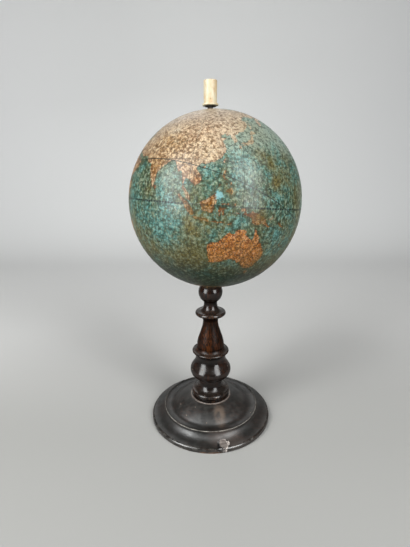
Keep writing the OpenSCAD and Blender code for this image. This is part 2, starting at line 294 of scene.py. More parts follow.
@dataclass(frozen=True)
class EbonisedWood:
    """Turned fruitwood, stained black and oiled: deep brown-black, redder where the stain has worn through."""

    name: str
    stain: str = "#0e0a08"
    warm: str = "#43220e"
    worn: str = "#77706a"
    wood: str = "#8a6a4c"
    grain: Triple = (0.9, 0.9, 16.0)
    warmth: float = 0.5
    wear: float = 0.06
    bare: float = 0.12
    gloss: float = 0.17
    polish: float = 0.54
    relief: float = 0.012
    # How dark the painted shade in hollows and on faces turned down is
    painted_shade: float = 0.75
    dust: float = 0.1
    rubbed_gloss: float = 0.0
    bloom: float = 1.0
    dull: tuple[float, float] = (64.0, 98.0)
    scars: bool = False

    def make(self) -> bpy.types.Material:
        """Build the material: stain, grain, rubbed edges, painted shade in hollows and underneath, lathe lines and
        small knocks.

        Returns:
            The finished material.
        """
        m = Sheet(self.name)
        rub = m.painted("rub")
        fibres = m.noise(m.stretched(self.grain), 5.0, 0.62, 0.35)
        pores = m.noise(m.stretched(tuple(g * 0.28 for g in self.grain)), 2.0, 0.5)
        patch = m.noise(m.stretched((17.0, 17.0, 21.0)), 3.0, 0.5)
        haze = m.noise(m.stretched((5.0, 5.0, 3.0)), 4.0, 0.6)
        lathe = m.noise(m.stretched((60.0, 60.0, 0.55)), 2.0, 0.5)
        high = m.math("DIVIDE", m.axes(m.place)[2], MM)
        low, top = self.dull
        dull = m.times(m.ramp(high, low, low + 6.0), m.ramp(high, top + 4.0, top))
        warm = m.times(m.ramp(fibres, 0.44, 0.6),
                      m.math("ADD", m.ramp(patch, 0.4, 0.62, 0.05, self.warmth), m.times(dull, 0.3), clamp=True))
        colour = m.mix(warm, self.stain, self.warm)
        colour = m.mix(m.ramp(pores, 0.56, 0.72, 0.0, 0.55), colour, "#0c0908")
        tired = m.times(m.ramp(haze, 0.4, 0.66), m.times(m.ramp(rub, 0.1, 0.75, 0.05, 1.0), self.wear))
        colour = m.mix(tired, colour, self.worn)
        bare = m.times(m.ramp(rub, 0.66, 0.95), m.ramp(fibres, 0.5, 0.66))
        colour = m.mix(m.times(bare, self.bare), colour, self.wood)
        # Painted shade: hollows in the outline and surfaces facing down are darkened towards near-black, where shade
        # falls
        facing = m.axes(m.add("NewGeometry").outputs["Normal"])[2]
        hollow = m.times(m.ramp(rub, 0.22, 0.06, 0.0, self.painted_shade), m.ramp(facing, 0.45, 0.15))
        hollow = m.most(hollow, m.ramp(facing, 0.0, -0.6, 0.0, self.painted_shade))
        colour = m.mix(hollow, colour, "#050302")
        settled = m.times(m.ramp(facing, 0.3, 0.8, 0.0, self.dust), m.ramp(haze, 0.3, 0.6, 0.5, 1.0))
        colour = m.mix(settled, colour, "#5f554d")
        if not self.scars:
            colour = self.rub_through(m, colour, fibres, dull)
        knock = m.ramp(m.cells(m.stretched((7.0, 7.0, 7.0))), 0.075, 0.03)
        colour = m.mix(m.times(knock, 0.7), colour, "#b09a86")
        height = m.line(fibres, 0.45, m.times(lathe, 0.35))
        normal = m.bump(height, self.relief)
        normal = m.bump(m.minus(1.0, knock), 0.16, normal)
        if self.scars:
            colour, normal = self.scar(m, colour, normal)
        rough = m.plus(m.ramp(haze, 0.3, 0.7, self.gloss - 0.03, self.gloss + 0.05),
                       m.line(tired, 0.2, m.times(dull, 0.16)))
        rough = m.minus(rough, m.ramp(rub, 0.42, 0.7, 0.0, self.rubbed_gloss))
        rough = m.line(settled, 0.6, rough)
        polish = m.times(m.line(dull, -0.88, 1.0), self.polish)
        polish = m.times(polish, m.line(hollow, -0.7, 1.0))
        wax = m.noise(m.stretched((9.0, 9.0, 9.0)), 3.0, 0.55)
        polish = m.times(polish, m.ramp(wax, 0.38, 0.6, self.bloom, 1.0))
        return m.finish({"IOR": 1.5}, {"Base Color": colour, "Roughness": rough, "Normal": normal,
                                       "Specular IOR Level": polish})

    def rub_through(self, m: Sheet, colour: Socket, fibres: Socket, dull: Socket) -> Socket:
        """Let the fruitwood show orange-brown where a hand has rubbed the vase's front.

        Args:
            m: the material's sheet.
            colour: the wood's colour so far.
            fibres: its grain.
            dull: where the vase is.

        Returns:
            The colour with the thin place.
        """
        across, back, high = m.axes(m.place)
        beside = m.size(m.plus(across, 2.8 * MM))
        thin = m.times(m.ramp(beside, 5.2 * MM, 0.2 * MM), m.ramp(back, -2 * MM, -5 * MM))
        thin = m.times(thin, dull, m.ramp(high, 94 * MM, 84 * MM))
        return m.mix(m.times(thin, m.ramp(fibres, 0.42, 0.62, 0.0, 0.3)), colour, "#643611")

    @staticmethod
    def oval(m: Sheet, across: Socket, wide: float | Socket, along: Socket, deep: float) -> Socket:
        """Measure how far a place lies from an oval's middle, squared: 1 on its edge.

        Args:
            m: the material's sheet.
            across: distance from the middle in one direction.
            wide: the oval's half width.
            along: distance from the middle in the other direction.
            deep: the oval's half depth.

        Returns:
            The squared distance's socket.
        """
        return m.plus(m.math("POWER", m.math("DIVIDE", across, wide), 2.0),
                      m.math("POWER", m.math("DIVIDE", along, deep), 2.0))

    def scar(self, m: Sheet, colour: Socket, normal: Socket) -> tuple[Socket, Socket]:
        """Draw the split at the foot's front, the pale chip beside it with painted shade round it and a painted
        highlight on its edge, painted sheen round the chip and on the dome, the crest line that is partly wear and
        partly a painted highlight, the worn lip and the bare arris.

        Args:
            m: the material's sheet.
            colour: the wood's colour so far.
            normal: the wood's normal so far.

        Returns:
            The colour and the normal with the damage.
        """
        turned = m.add("Mapping", {"Rotation": (0, 0, math.radians(SPLIT_AT)),
                                   "Scale": (1 / MM, 1 / MM, 1 / MM)}, {"Vector": m.place}).outputs[0]
        parts = m.axes(turned)
        across, back, high = parts[0], parts[1], parts[2]
        wander = m.line(m.noise(m.stretched((3.0, 3.0, 3.0))), 1.6, -0.8)
        line = m.size(m.plus(across, wander))
        reach = m.times(m.ramp(back, -46.0, -48.5), m.ramp(back, -60.0, -58.0))
        split = m.times(m.ramp(line, 1.2, 0.7), reach)
        ragged = m.line(m.noise(m.stretched((2.6, 2.6, 2.6)), 4.0, 0.65), 9.0, -4.5)
        side = m.line(ragged, 0.7, across)
        inward = m.plus(back, ragged)
        taper = m.line(back, 0.22, 15.0)
        shape = self.oval(m, m.minus(side, 4.6), taper, m.plus(inward, 49.6), 4.6)
        chip = m.ramp(shape, 1.15, 0.75)
        # Painted sheen: a pale brown-grey oval round the chip stands in for the light's sheen on the slope there
        ground = self.oval(m, m.minus(across, 8.0), 17.0, m.plus(back, 46.0), 8.0)
        # Painted sheen: a pink-beige patch on the dome's front right stands in for a window's sheen there
        painted_dome_sheen = self.oval(m, m.minus(across, 4.5), 4.5, m.plus(back, 27.0), 9.0)
        colour = m.mix(m.ramp(ground, 1.2, 0.2, 0.0, 0.3), colour, "#5f544e")
        cloud = m.ramp(m.noise(m.stretched((5.0, 5.0, 5.0)), 4.0, 0.6), 0.34, 0.62, 0.2, 1.0)
        colour = m.mix(m.times(m.ramp(painted_dome_sheen, 1.9, 0.0, 0.0, 0.36), cloud), colour, "#86705f")
        # Painted shade: a dark ring just outside the chip stands for the shade of its broken edge
        edge = m.math("SUBTRACT", m.ramp(shape, 1.7, 1.1), chip, clamp=True)
        fibre = m.noise(m.stretched((5.0, 1.0, 1.0)), 4.0, 0.6)
        fresh = m.mix(m.ramp(fibre, 0.4, 0.64), "#6a605b", "#a99f98")
        colour = m.mix(m.times(chip, 0.62), colour, fresh)
        # Painted highlight: a near-white line along the chip's right-hand edge
        bright = m.times(m.ramp(m.size(m.minus(shape, 0.85)), 0.3, 0.1), m.ramp(side, 4.6, 6.4))
        colour = m.mix(m.times(bright, 0.8), colour, "#d6ccc3")
        colour = m.mix(m.times(edge, 0.5), colour, "#1a1210")
        colour = m.mix(split, colour, "#0a0605")
        lip = m.times(m.ramp(high, 20.35, 20.7),
                      m.ramp(m.noise(m.stretched((4.0, 4.0, 4.0)), 3.0), 0.3, 0.5, 0.5, 1.0))
        colour = m.mix(m.times(lip, 0.75), colour, "#8a7d75")
        # Painted highlight, partly wear: a pale line on the crest ring, strongest at the front, where light catches its
        # edge
        out = m.math("SQRT", m.plus(m.times(across, across), m.times(back, back)))
        crest = m.times(m.ramp(m.size(m.minus(out, 42.15)), 0.85, 0.45), m.ramp(high, 11.5, 12.0))
        crest = m.times(crest, m.ramp(back, 4.0, -28.0, 0.3, 1.0), m.times(cloud, 0.9))
        colour = m.mix(crest, colour, "#98938b")
        arris = m.times(m.ramp(high, 2.2, 0.9), m.ramp(back, -51.0, -52.5),
                       m.times(m.ramp(across, 3.0, 0.0), m.ramp(across, -21.0, -14.0)))
        bare = m.times(arris, m.ramp(m.noise(m.stretched((2.5, 2.5, 1.2)), 3.0), 0.36, 0.56))
        colour = m.mix(m.times(bare, 0.8), colour, "#6d4a34")
        normal = m.bump(m.minus(1.0, chip), 0.35, normal)
        return colour, m.bump(m.minus(1.0, split), 0.7, normal)


@dataclass(frozen=True)
class Metal:
    """Drawn or turned metal dulled by handling: a grey or yellow ground with darker stains and fine turning."""

    name: str
    bright: str
    dull: str
    spots: str
    rough: float = 0.42
    lines: Triple = (30.0, 30.0, 0.35)

    def make(self) -> bpy.types.Material:
        """Build the material: metal, oxide blotches, pits and tool lines.

        Returns:
            The finished material.
        """
        m = Sheet(self.name)
        blotch = m.noise(m.stretched((2.2, 2.2, 3.5)), 5.0, 0.6)
        pits = m.ramp(m.cells(m.stretched((0.9, 0.9, 0.9))), 0.3, 0.12)
        tool = m.noise(m.stretched(self.lines), 2.0, 0.5)
        oxide = m.ramp(blotch, 0.44, 0.6)
        colour = m.mix(oxide, self.bright, self.dull)
        colour = m.mix(m.times(pits, m.ramp(blotch, 0.48, 0.62)), colour, self.spots)
        metal = m.ramp(blotch, 0.46, 0.64, 1.0, 0.35)
        rough = m.ramp(blotch, 0.35, 0.65, self.rough, self.rough + 0.25)
        normal = m.bump(m.plus(m.times(tool, 0.4), m.times(blotch, 0.6)), 0.035)
        return m.finish({}, {"Base Color": colour, "Metallic": metal, "Roughness": rough, "Normal": normal})


@dataclass(frozen=True)
class Bone:
    """Turned and polished bone: warm cream with brown canals that run along it and a faint waxy depth."""

    name: str
    light: str = "#d1c6a9"
    shade: str = "#c6a980"
    canal: str = "#7d5a38"

    def make(self) -> bpy.types.Material:
        """Build the material: long canals, yellowed patches, grime in the creases and a soft polish.

        Returns:
            The finished material.
        """
        m = Sheet(self.name)
        streak = m.noise(m.stretched((0.55, 0.55, 7.0)), 3.0, 0.55, 0.25)
        dots = m.cells(m.stretched((0.75, 0.75, 4.0)))
        patch = m.noise(m.stretched((4.0, 4.0, 6.0)), 3.0, 0.55)
        rub = m.painted("rub")
        colour = m.mix(m.ramp(patch, 0.4, 0.66, 0.0, 0.75), self.light, self.shade)
        colour = m.mix(m.ramp(streak, 0.54, 0.7, 0.0, 0.45), colour, "#b88f5e")
        canals = m.times(m.ramp(dots, 0.2, 0.08), m.ramp(patch, 0.46, 0.62))
        colour = m.mix(m.times(canals, 0.85), colour, self.canal)
        colour = m.mix(m.ramp(rub, 0.28, 0.05, 0.0, 0.08), colour, "#8a6a45")
        normal = m.bump(m.minus(1.0, m.most(canals, m.ramp(streak, 0.6, 0.72, 0.0, 0.4))), 0.05)
        rough = m.ramp(patch, 0.3, 0.7, 0.34, 0.5)
        return m.finish({"IOR": 1.54, "Subsurface Weight": 0.12, "Subsurface Radius": (0.0016, 0.0010, 0.0006)},
                        {"Base Color": colour, "Roughness": rough, "Normal": normal})


@dataclass(frozen=True)
class Fibrous:
    """A dry, matt body such as leather, plaster, pulp or plain wood: a ground, its fibres and its pits."""

    name: str
    ground: str
    fibre: str
    pit: str
    fibre_size: Triple = (0.6, 0.6, 4.0)
    pit_size: float = 1.4
    rough: float = 0.8
    relief: float = 0.08

    def make(self) -> bpy.types.Material:
        """Build the material: mottled ground, stretched fibres and scattered pits.

        Returns:
            The finished material.
        """
        m = Sheet(self.name)
        fibres = m.noise(m.stretched(self.fibre_size), 5.0, 0.6, 0.2)
        mottle = m.noise(m.stretched((9.0, 9.0, 9.0)), 3.0, 0.5)
        pits = m.ramp(m.cells(m.stretched((self.pit_size,) * 3)), 0.26, 0.1)
        colour = m.mix(m.ramp(fibres, 0.38, 0.66), self.ground, self.fibre)
        colour = m.mix(m.ramp(mottle, 0.4, 0.7, 0.0, 0.35), colour, self.pit)
        colour = m.mix(m.times(pits, 0.7), colour, self.pit)
        height = m.minus(fibres, m.times(pits, 0.6))
        rough = m.ramp(fibres, 0.3, 0.7, self.rough - 0.1, self.rough + 0.08)
        return m.finish({"IOR": 1.5},
                        {"Base Color": colour, "Roughness": rough, "Normal": m.bump(height, self.relief)})


def arc(r: float, z: float, a: float, b: float, start: float, end: float, first: int = 0, steps: int = 16) -> Outline:
    """Points of an elliptic arc in an outline.

    Args:
        r: radius of the arc's centre.
        z: height of the arc's centre.
        a: half width.
        b: half height.
        start: first angle in degrees.
        end: last angle in degrees.
        first: 1 leaves the first point out.
        steps: how many pieces the arc has.

    Returns:
        The points as radius and height.
    """
    turns = [math.radians(start + (end - start) * i / steps) for i in range(first, steps + 1)]
    return [(r + a * math.cos(t), z + b * math.sin(t)) for t in turns]


def swell(r0: float, z0: float, r1: float, z1: float, steps: int = 36) -> Outline:
    """Lay out a smooth swell between two radii, both ends left out.

    Args:
        r0: radius at the start.
        z0: height of the start.
        r1: radius at the end.
        z1: height of the end.
        steps: number of pieces.

    Returns:
        Points as radius and height.
    """
    return [(r1 + (r0 - r1) * (1 + math.cos(math.pi * i / steps)) / 2, z0 + (z1 - z0) * i / steps)
            for i in range(1, steps)]


def bow(r0: float, z0: float, r1: float, z1: float, rise: float, steps: int) -> Outline:
    """Lay out a shallow curve that rises above the straight line between two points, the first one left out.

    Args:
        r0: radius at the start.
        z0: height of the start.
        r1: radius at the end.
        z1: height of the end.
        rise: greatest distance from the straight line.
        steps: number of pieces.

    Returns:
        Points as radius and height.
    """
    span = math.hypot(r1 - r0, z1 - z0)
    bows = [(i / steps, 4 * rise * i / steps * (1 - i / steps) / span) for i in range(1, steps + 1)]
    return [(r0 + (r1 - r0) * t + (z1 - z0) * h, z0 + (z1 - z0) * t - (r1 - r0) * h) for t, h in bows]


def refined(outline: Outline, step: float) -> Outline:
    """Split an outline's long pieces.

    Args:
        outline: points as radius and height.
        step: the longest piece that is left.

    Returns:
        The outline with more points.
    """
    points = [outline[0]]
    for (r0, z0), (r1, z1) in zip(outline[:-1], outline[1:]):
        count = max(1, math.ceil(math.hypot(r1 - r0, z1 - z0) / step))
        points += [(r0 + (r1 - r0) * i / count, z0 + (z1 - z0) * i / count) for i in range(1, count + 1)]
    return points


def rubbed(points: Outline, reach: int = 4) -> list[float]:
    """Tell how far each point of an outline stands out, where hands and cloths rub.

    Args:
        points: the outline.
        reach: how many neighbours are looked at.

    Returns:
        One value a point, 0 in a hollow and 1 on a sharp edge.
    """
    values = []
    last = len(points) - 1
    for i, (r, z) in enumerate(points):
        r0, z0 = points[max(0, i - reach)]
        r1, z1 = points[min(last, i + reach)]
        chord = math.hypot(r1 - r0, z1 - z0) or 1.0
        out = ((r - r0) * (z1 - z0) - (z - z0) * (r1 - r0)) / chord
        values.append(min(1.0, max(0.0, 0.3 + 2.2 * out / chord * 1.6)))
    return values


def shaded(mesh: bpy.types.Mesh, angle: float = 32.0) -> None:
    """Shade a mesh smooth, but for edges sharper than the angle in degrees."""
    mesh.shade_smooth()
    mesh.set_sharp_from_angle(angle=math.radians(angle))


def hang(name: str, bm: bmesh.types.BMesh, material: bpy.types.Material, body: str,
         nodes: tuple[str, ...], angle: float = 32.0) -> bpy.types.Object:
    """Make a finished piece of a bmesh and let it stand for its solids.

    Args:
        name: the piece's name.
        bm: the shape, freed here.
        material: its finish.
        body: the body that it rides on.
        nodes: the solids that it stands for.
        angle: edges sharper than this stay sharp.

    Returns:
        The new object.
    """
    mesh = bpy.data.meshes.new(name)
    bm.to_mesh(mesh)
    bm.free()
    shaded(mesh, angle)
    mesh.materials.append(material)
    piece = bpy.data.objects.new(name, mesh)
    bpy.context.scene.collection.objects.link(piece)
    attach(piece, body)
    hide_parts(*nodes)
    log.info("%s: %d faces on body %s", name, len(mesh.polygons), body)
    return piece


def lathe(outline: Outline, steps: int, step: float = 0.5) -> bmesh.types.BMesh:
    """Turn an outline in millimetres about the rod's axis.

    Args:
        outline: points as radius and height, bottom first, with the wall's outside to their right.
        steps: how many pieces a full turn has.
        step: the longest piece of outline in millimetres.

    Returns:
        A closed shape with a rub layer on its points.
    """
    bm = bmesh.new()
    rub = bm.verts.layers.float.new("rub")
    points = refined(outline, step)
    verts = []
    for (r, z), value in zip(points, rubbed(points)):
        vert = bm.verts.new((r * MM, 0, z * MM))
        vert[rub] = value
        verts.append(vert)
    edges = [bm.edges.new(pair) for pair in zip(verts[:-1], verts[1:])]
    bmesh.ops.spin(bm, geom=verts + edges, cent=(0, 0, 0), axis=(0, 0, 1), angle=math.tau, steps=steps,
                   use_merge=True, use_normal_flip=False, use_duplicate=False)
    bmesh.ops.remove_doubles(bm, verts=bm.verts, dist=1e-6)
    bmesh.ops.recalc_face_normals(bm, faces=bm.faces)
    return bm


@dataclass
class Foot:
    """The turned foot: rim, cavetto, crest ring, hollow, dome and the lip round the column. Sizes in millimetres."""

    radius: float = 54.0
    height: float = 20.8
    rim_h: float = 4.6
    rim_round: float = 1.7
    under_round: float = 1.0
    rim_flat: float = 0.9
    crest_r: float = 42.4
    crest_h: float = 12.3
    crest_step: float = 1.2
    hollow_w: float = 8.4
    hollow_depth: float = 1.3
    dome_step: float = 1.1
    dome_bow: float = 1.0
    base_r: float = 15.6
    lip_gap: float = 1.3
    lip_w: float = 0.7
    seat_depth: float = 0.7
    rest_w: float = 12.0
    recess: float = 3.0
    bore_r: float = 7.05
    small_knocks: int = 26

    def outline(self) -> Outline:
        """Lay out the foot's half outline.

        Returns:
            Closed list of points as radius and height.
        """
        rest = self.radius - self.under_round - self.rest_w
        rim_in = self.radius - self.rim_round - self.rim_flat
        step_z = self.crest_h - self.crest_step
        mid = self.crest_r - self.hollow_w * 0.6
        dome_out = self.crest_r - self.hollow_w
        low = self.crest_h - self.hollow_depth
        seat = self.height - self.seat_depth
        lip_in = self.base_r + self.lip_gap
        dome_in = lip_in + self.lip_w
        outer = self.radius - self.under_round
        points = [(self.bore_r, self.recess), (rest - 1.2, self.recess), (rest, 0.0)]
        points += arc(outer, self.under_round, self.under_round, self.under_round, -90, 0, 0, 6)
        points += arc(self.radius - self.rim_round, self.rim_h - self.rim_round, self.rim_round, self.rim_round, 0,
                      90, 0, 10)
        points += [(rim_in, self.rim_h)]
        points += arc(rim_in, step_z, self.crest_r - rim_in - 0.2, self.rim_h - step_z, 90, 0, 1, 24)
        points += [(self.crest_r, step_z + 0.3), (self.crest_r, self.crest_h - 0.25),
                   (self.crest_r - 0.08, self.crest_h - 0.1), (self.crest_r - 0.3, self.crest_h)]
        points += arc(mid, self.crest_h, self.crest_r - 0.3 - mid, -self.hollow_depth, 0, 90, 1, 12)
        points += bow(mid, low, dome_out, low + self.dome_step, -self.dome_step / 4, 10)
        points += bow(dome_out, low + self.dome_step, dome_in, self.height - 0.12, self.dome_bow, 28)
        points += [(dome_in - 0.12, self.height), (lip_in + 0.12, self.height),
                   (lip_in, self.height - 0.12), (lip_in, seat), (self.bore_r, seat), (self.bore_r, self.recess)]
        return points

    def build(self) -> bpy.types.Object:
        """Turn the foot, nick its arrises and open the old split at the rim.

        Returns:
            The foot.
        """
        bm = lathe(self.outline(), 448, 0.7)
        rng = np.random.default_rng(11)
        knocks = [(math.radians(a), r, z, s, d) for a, r, z, s, d in (
            (-1.5, 42.4, 12.2, 1.6, 0.45), (4.0, 42.2, 12.2, 1.1, 0.3), (-4.5, 42.3, 12.3, 0.9, 0.3),
            (6.5, 54.0, 2.6, 0.75, 0.9), (9.0, 53.6, 3.6, 1.7, 0.45), (-48.0, 53.9, 3.8, 1.5, 0.3),
            (38.0, 53.9, 3.9, 1.2, 0.25), (75.0, 42.4, 12.2, 1.2, 0.3))]
        knocks += [(rng.uniform(-math.pi, math.pi), *rng.choice([(54.0, 3.9), (42.4, 12.3), (17.3, 20.8)]),
                    rng.uniform(0.8, 1.8), rng.uniform(0.12, 0.3)) for _ in range(self.small_knocks)]
        for vert in bm.verts:
            x, y, z = (c / MM for c in vert.co)
            turn, r = math.atan2(x, -y), math.hypot(x, y)
            pull = 0.0
            for where, at_r, at_z, size, depth in knocks:
                swing = (turn - where + math.pi) % math.tau - math.pi
                gap = (swing * at_r) ** 2 + (r - at_r) ** 2 + (z - at_z) ** 2
                if gap < 9 * size * size:
                    pull += depth * math.exp(-gap / size ** 2)
            if pull > 0.01 and z > 0.6:
                share = 1 - pull / max(r, 1.0)
                vert.co = (vert.co.x * share, vert.co.y * share, vert.co.z - min(pull, 0.5) * 0.5 * MM)
        # The foot's pale worn grey on its rubbed edges is set strong, partly as painted sheen
        wood = EbonisedWood("turned fruitwood, black stain, worn (foot)", stain="#1a1917", warm="#35221a",
                            worn="#7c7871", grain=(15.0, 1.0, 1.0), warmth=0.55, wear=0.18, bare=0.03, gloss=0.4,
                            relief=0.008, painted_shade=0.3, dust=0.0, rubbed_gloss=0.18, bloom=0.68, polish=1.0,
                            dull=(200.0, 210.0), scars=True)
        return hang("turned_foot", bm, wood.make(), "stand", ("foot",))


@dataclass
class Column:
    """The turned baluster between foot and ball. Heights and radii in millimetres."""

    tenon_r: float = 7.0
    foot_z: float = 7.1
    seat_z: float = 20.1
    base_r: float = 15.6
    base_top: float = 23.1
    base_bead: float = 1.4
    flare_z: float = 26.9
    flare_r: float = 16.2
    neck_z: float = 33.8
    neck_r: float = 10.0
    quirk: float = 0.4
    bead_foot: float = 39.2
    bead_z: float = 46.9
    bead_r: float = 18.1
    throat_r: float = 13.2
    cove_z: float = 58.4
    collar_z: float = 65.05
    collar_r: float = 16.1
    collar_t: float = 2.1
    vase_z: float = 70.1
    vase_r: float = 11.8
    upper_neck_z: float = 94.1
    upper_neck_r: float = 6.4
    disc_foot: float = 99.0
    disc_r: float = 13.0
    disc_t: float = 3.6
    finial_neck_z: float = 109.0
    finial_neck_h: float = 1.8
    finial_neck_r: float = 5.6
    finial_z: float = 119.57
    finial_r: float = 10.1
    top: float = 125.47
    bore_r: float = 1.95
    bore_z: float = 91.47

    def outline(self) -> Outline:
        """Lay out the column's half outline, from the tenon's foot to the rod's bore.

        Returns:
            Points as radius and height.
        """
        bead_h = self.bead_z - self.bead_foot
        collar_in = self.collar_r - self.collar_t / 2
        disc_in = self.disc_r - self.disc_t / 2
        disc_z = self.disc_foot + self.disc_t / 2
        meet = self.finial_neck_r + 0.6
        p = [(0, self.foot_z), (self.tenon_r - 0.6, self.foot_z), (self.tenon_r, self.foot_z + 0.6)]
        p += [(self.tenon_r, self.seat_z), (self.base_r, self.seat_z)]
        p += arc(self.base_r, (self.base_top + self.flare_z) / 2, self.base_bead, (self.flare_z - self.base_top) / 2,
                 -90, 90)
        p += [(self.flare_r, self.flare_z)]
        p += arc(self.flare_r, self.neck_z, self.neck_r - self.flare_r, self.quirk - (self.neck_z - self.flare_z), 90,
                 0)
        p += [(self.neck_r, self.bead_foot)]
        p += arc(self.neck_r + 0.8, self.bead_z, self.bead_r - self.neck_r - 0.8, bead_h, -90, 0, 0, 24)
        p += swell(self.bead_r, self.bead_z, self.throat_r, self.cove_z)
        p += arc(collar_in, self.cove_z, self.throat_r - collar_in, self.collar_z - self.collar_t / 2 - self.cove_z,
                 0, 90)
        p += arc(collar_in, self.collar_z, self.collar_t / 2, self.collar_t / 2, -90, 90, 1)
        p += arc(collar_in, self.vase_z, self.vase_r - collar_in, self.collar_z + self.collar_t / 2 - self.vase_z,
                 90, 0, 1)
        p += swell(self.vase_r, self.vase_z, self.upper_neck_r, self.upper_neck_z)
        p += arc(disc_in, self.upper_neck_z, self.upper_neck_r - disc_in, self.disc_foot - self.upper_neck_z, 0, 90)
        p += arc(disc_in, disc_z, self.disc_t / 2, self.disc_t / 2, -90, 90, 1)
        p += arc(disc_in, self.finial_neck_z, self.finial_neck_r - disc_in,
                 self.disc_foot + self.disc_t - self.finial_neck_z, 90, 0, 1)
        p += [(self.finial_neck_r, self.finial_neck_z + self.finial_neck_h)]
        low = -math.degrees(math.acos(meet / self.finial_r))
        high = math.degrees(math.asin((self.top - self.finial_z) / self.finial_r))
        p += arc(0, self.finial_z, self.finial_r, self.finial_r, low, high, 0, 36)
        p += [(self.bore_r, self.top), (self.bore_r, self.bore_z), (0, self.bore_z)]
        return p

    def build(self) -> bpy.types.Object:
        """Turn the column.

        Returns:
            The column.
        """
        wood = EbonisedWood("turned fruitwood, black stain, oiled (column)")
        return hang("turned_column", lathe(self.outline(), 160, 0.6), wood.make(), "stand",
                    ("column",))


@dataclass
class Fittings:
    """Rod, washers and bone knob on the globe's axis. Sizes in millimetres."""

    knob_z: float = 259.07
    knob_h: float = 16.0
    knob_r: float = 4.75
    flange_r: float = 5.75
    flange_h: float = 1.4
    dish_r: float = 3.55
    bore_r: float = 1.48
    bore_h: float = 10.85

    def knob_outline(self) -> Outline:
        """Lay out the knob's half outline: bore, flange, plain body, rounded rim and dished top.

        Returns:
            Closed list of points as radius and height.
        """
        r, top = self.knob_r, self.knob_z + self.knob_h
        p = [(self.bore_r, self.knob_z), (self.flange_r - 0.3, self.knob_z), (self.flange_r, self.knob_z + 0.3)]
        p += arc(self.flange_r - 0.5, self.knob_z + self.flange_h - 0.5, 0.5, 0.5, 0, 90, 0, 6)
        p += [(r - 0.05, self.knob_z + self.flange_h + 0.2)]
        p += arc(r - 0.5, top - 0.5, 0.5, 0.5, 0, 90, 0, 8)
        p += [(self.dish_r, top - 0.02), (self.dish_r - 0.25, top - 0.2), (0, top - 0.24)]
        p += [(0, self.knob_z + self.bore_h), (self.bore_r, self.knob_z + self.bore_h), (self.bore_r, self.knob_z)]
        return p

    def build(self) -> None:
        """Turn the knob with its slightly uneven body, and finish the rod and both washers."""
        bm = lathe(self.knob_outline(), 96, 0.35)
        for vert in bm.verts:
            x, y, z = (c / MM for c in vert.co)
            if z > self.knob_z + self.flange_h and math.hypot(x, y) > 2:
                worn = 0.5 - 0.5 * math.cos((z - self.knob_z) * 0.55 + math.atan2(y, x))
                share = 1 - 0.012 * worn
                vert.co = (vert.co.x * share, vert.co.y * share, vert.co.z)
        hang("bone_knob", bm, Bone("turned bone, polished (knob)").make(), "knob", ("knob",))
        rod = Metal("drawn iron, browned (rod)", "#4c4845", "#2b211c", "#5a3722", 0.45, (0.5, 0.5, 40.0))
        brass = Metal("turned brass, tarnished (washer)", "#a08552", "#5b4a2c", "#33301f", 0.38)
        # The knob washer is finished near-black, partly as painted shade under the knob's flange
        leather = Fibrous("cut leather, darkened (washer)", "#241c17", "#3a2c22", "#15100d", (0.5, 0.5, 0.5), 0.7,
                          0.7)
        for node, finish in (("axis_rod", rod), ("thrust_washer", brass), ("knob_washer", leather)):
            dress(node, finish.make())


def dress(node: str, material: bpy.types.Material) -> None:
    """Give a solid that stays in view its finish.

    Args:
        node: the solid's name.
        material: its finish.
    """
    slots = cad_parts[node].data.materials
    slots.clear()
    slots.append(material)
    log.info("%s: finished as %s", node, material.name)


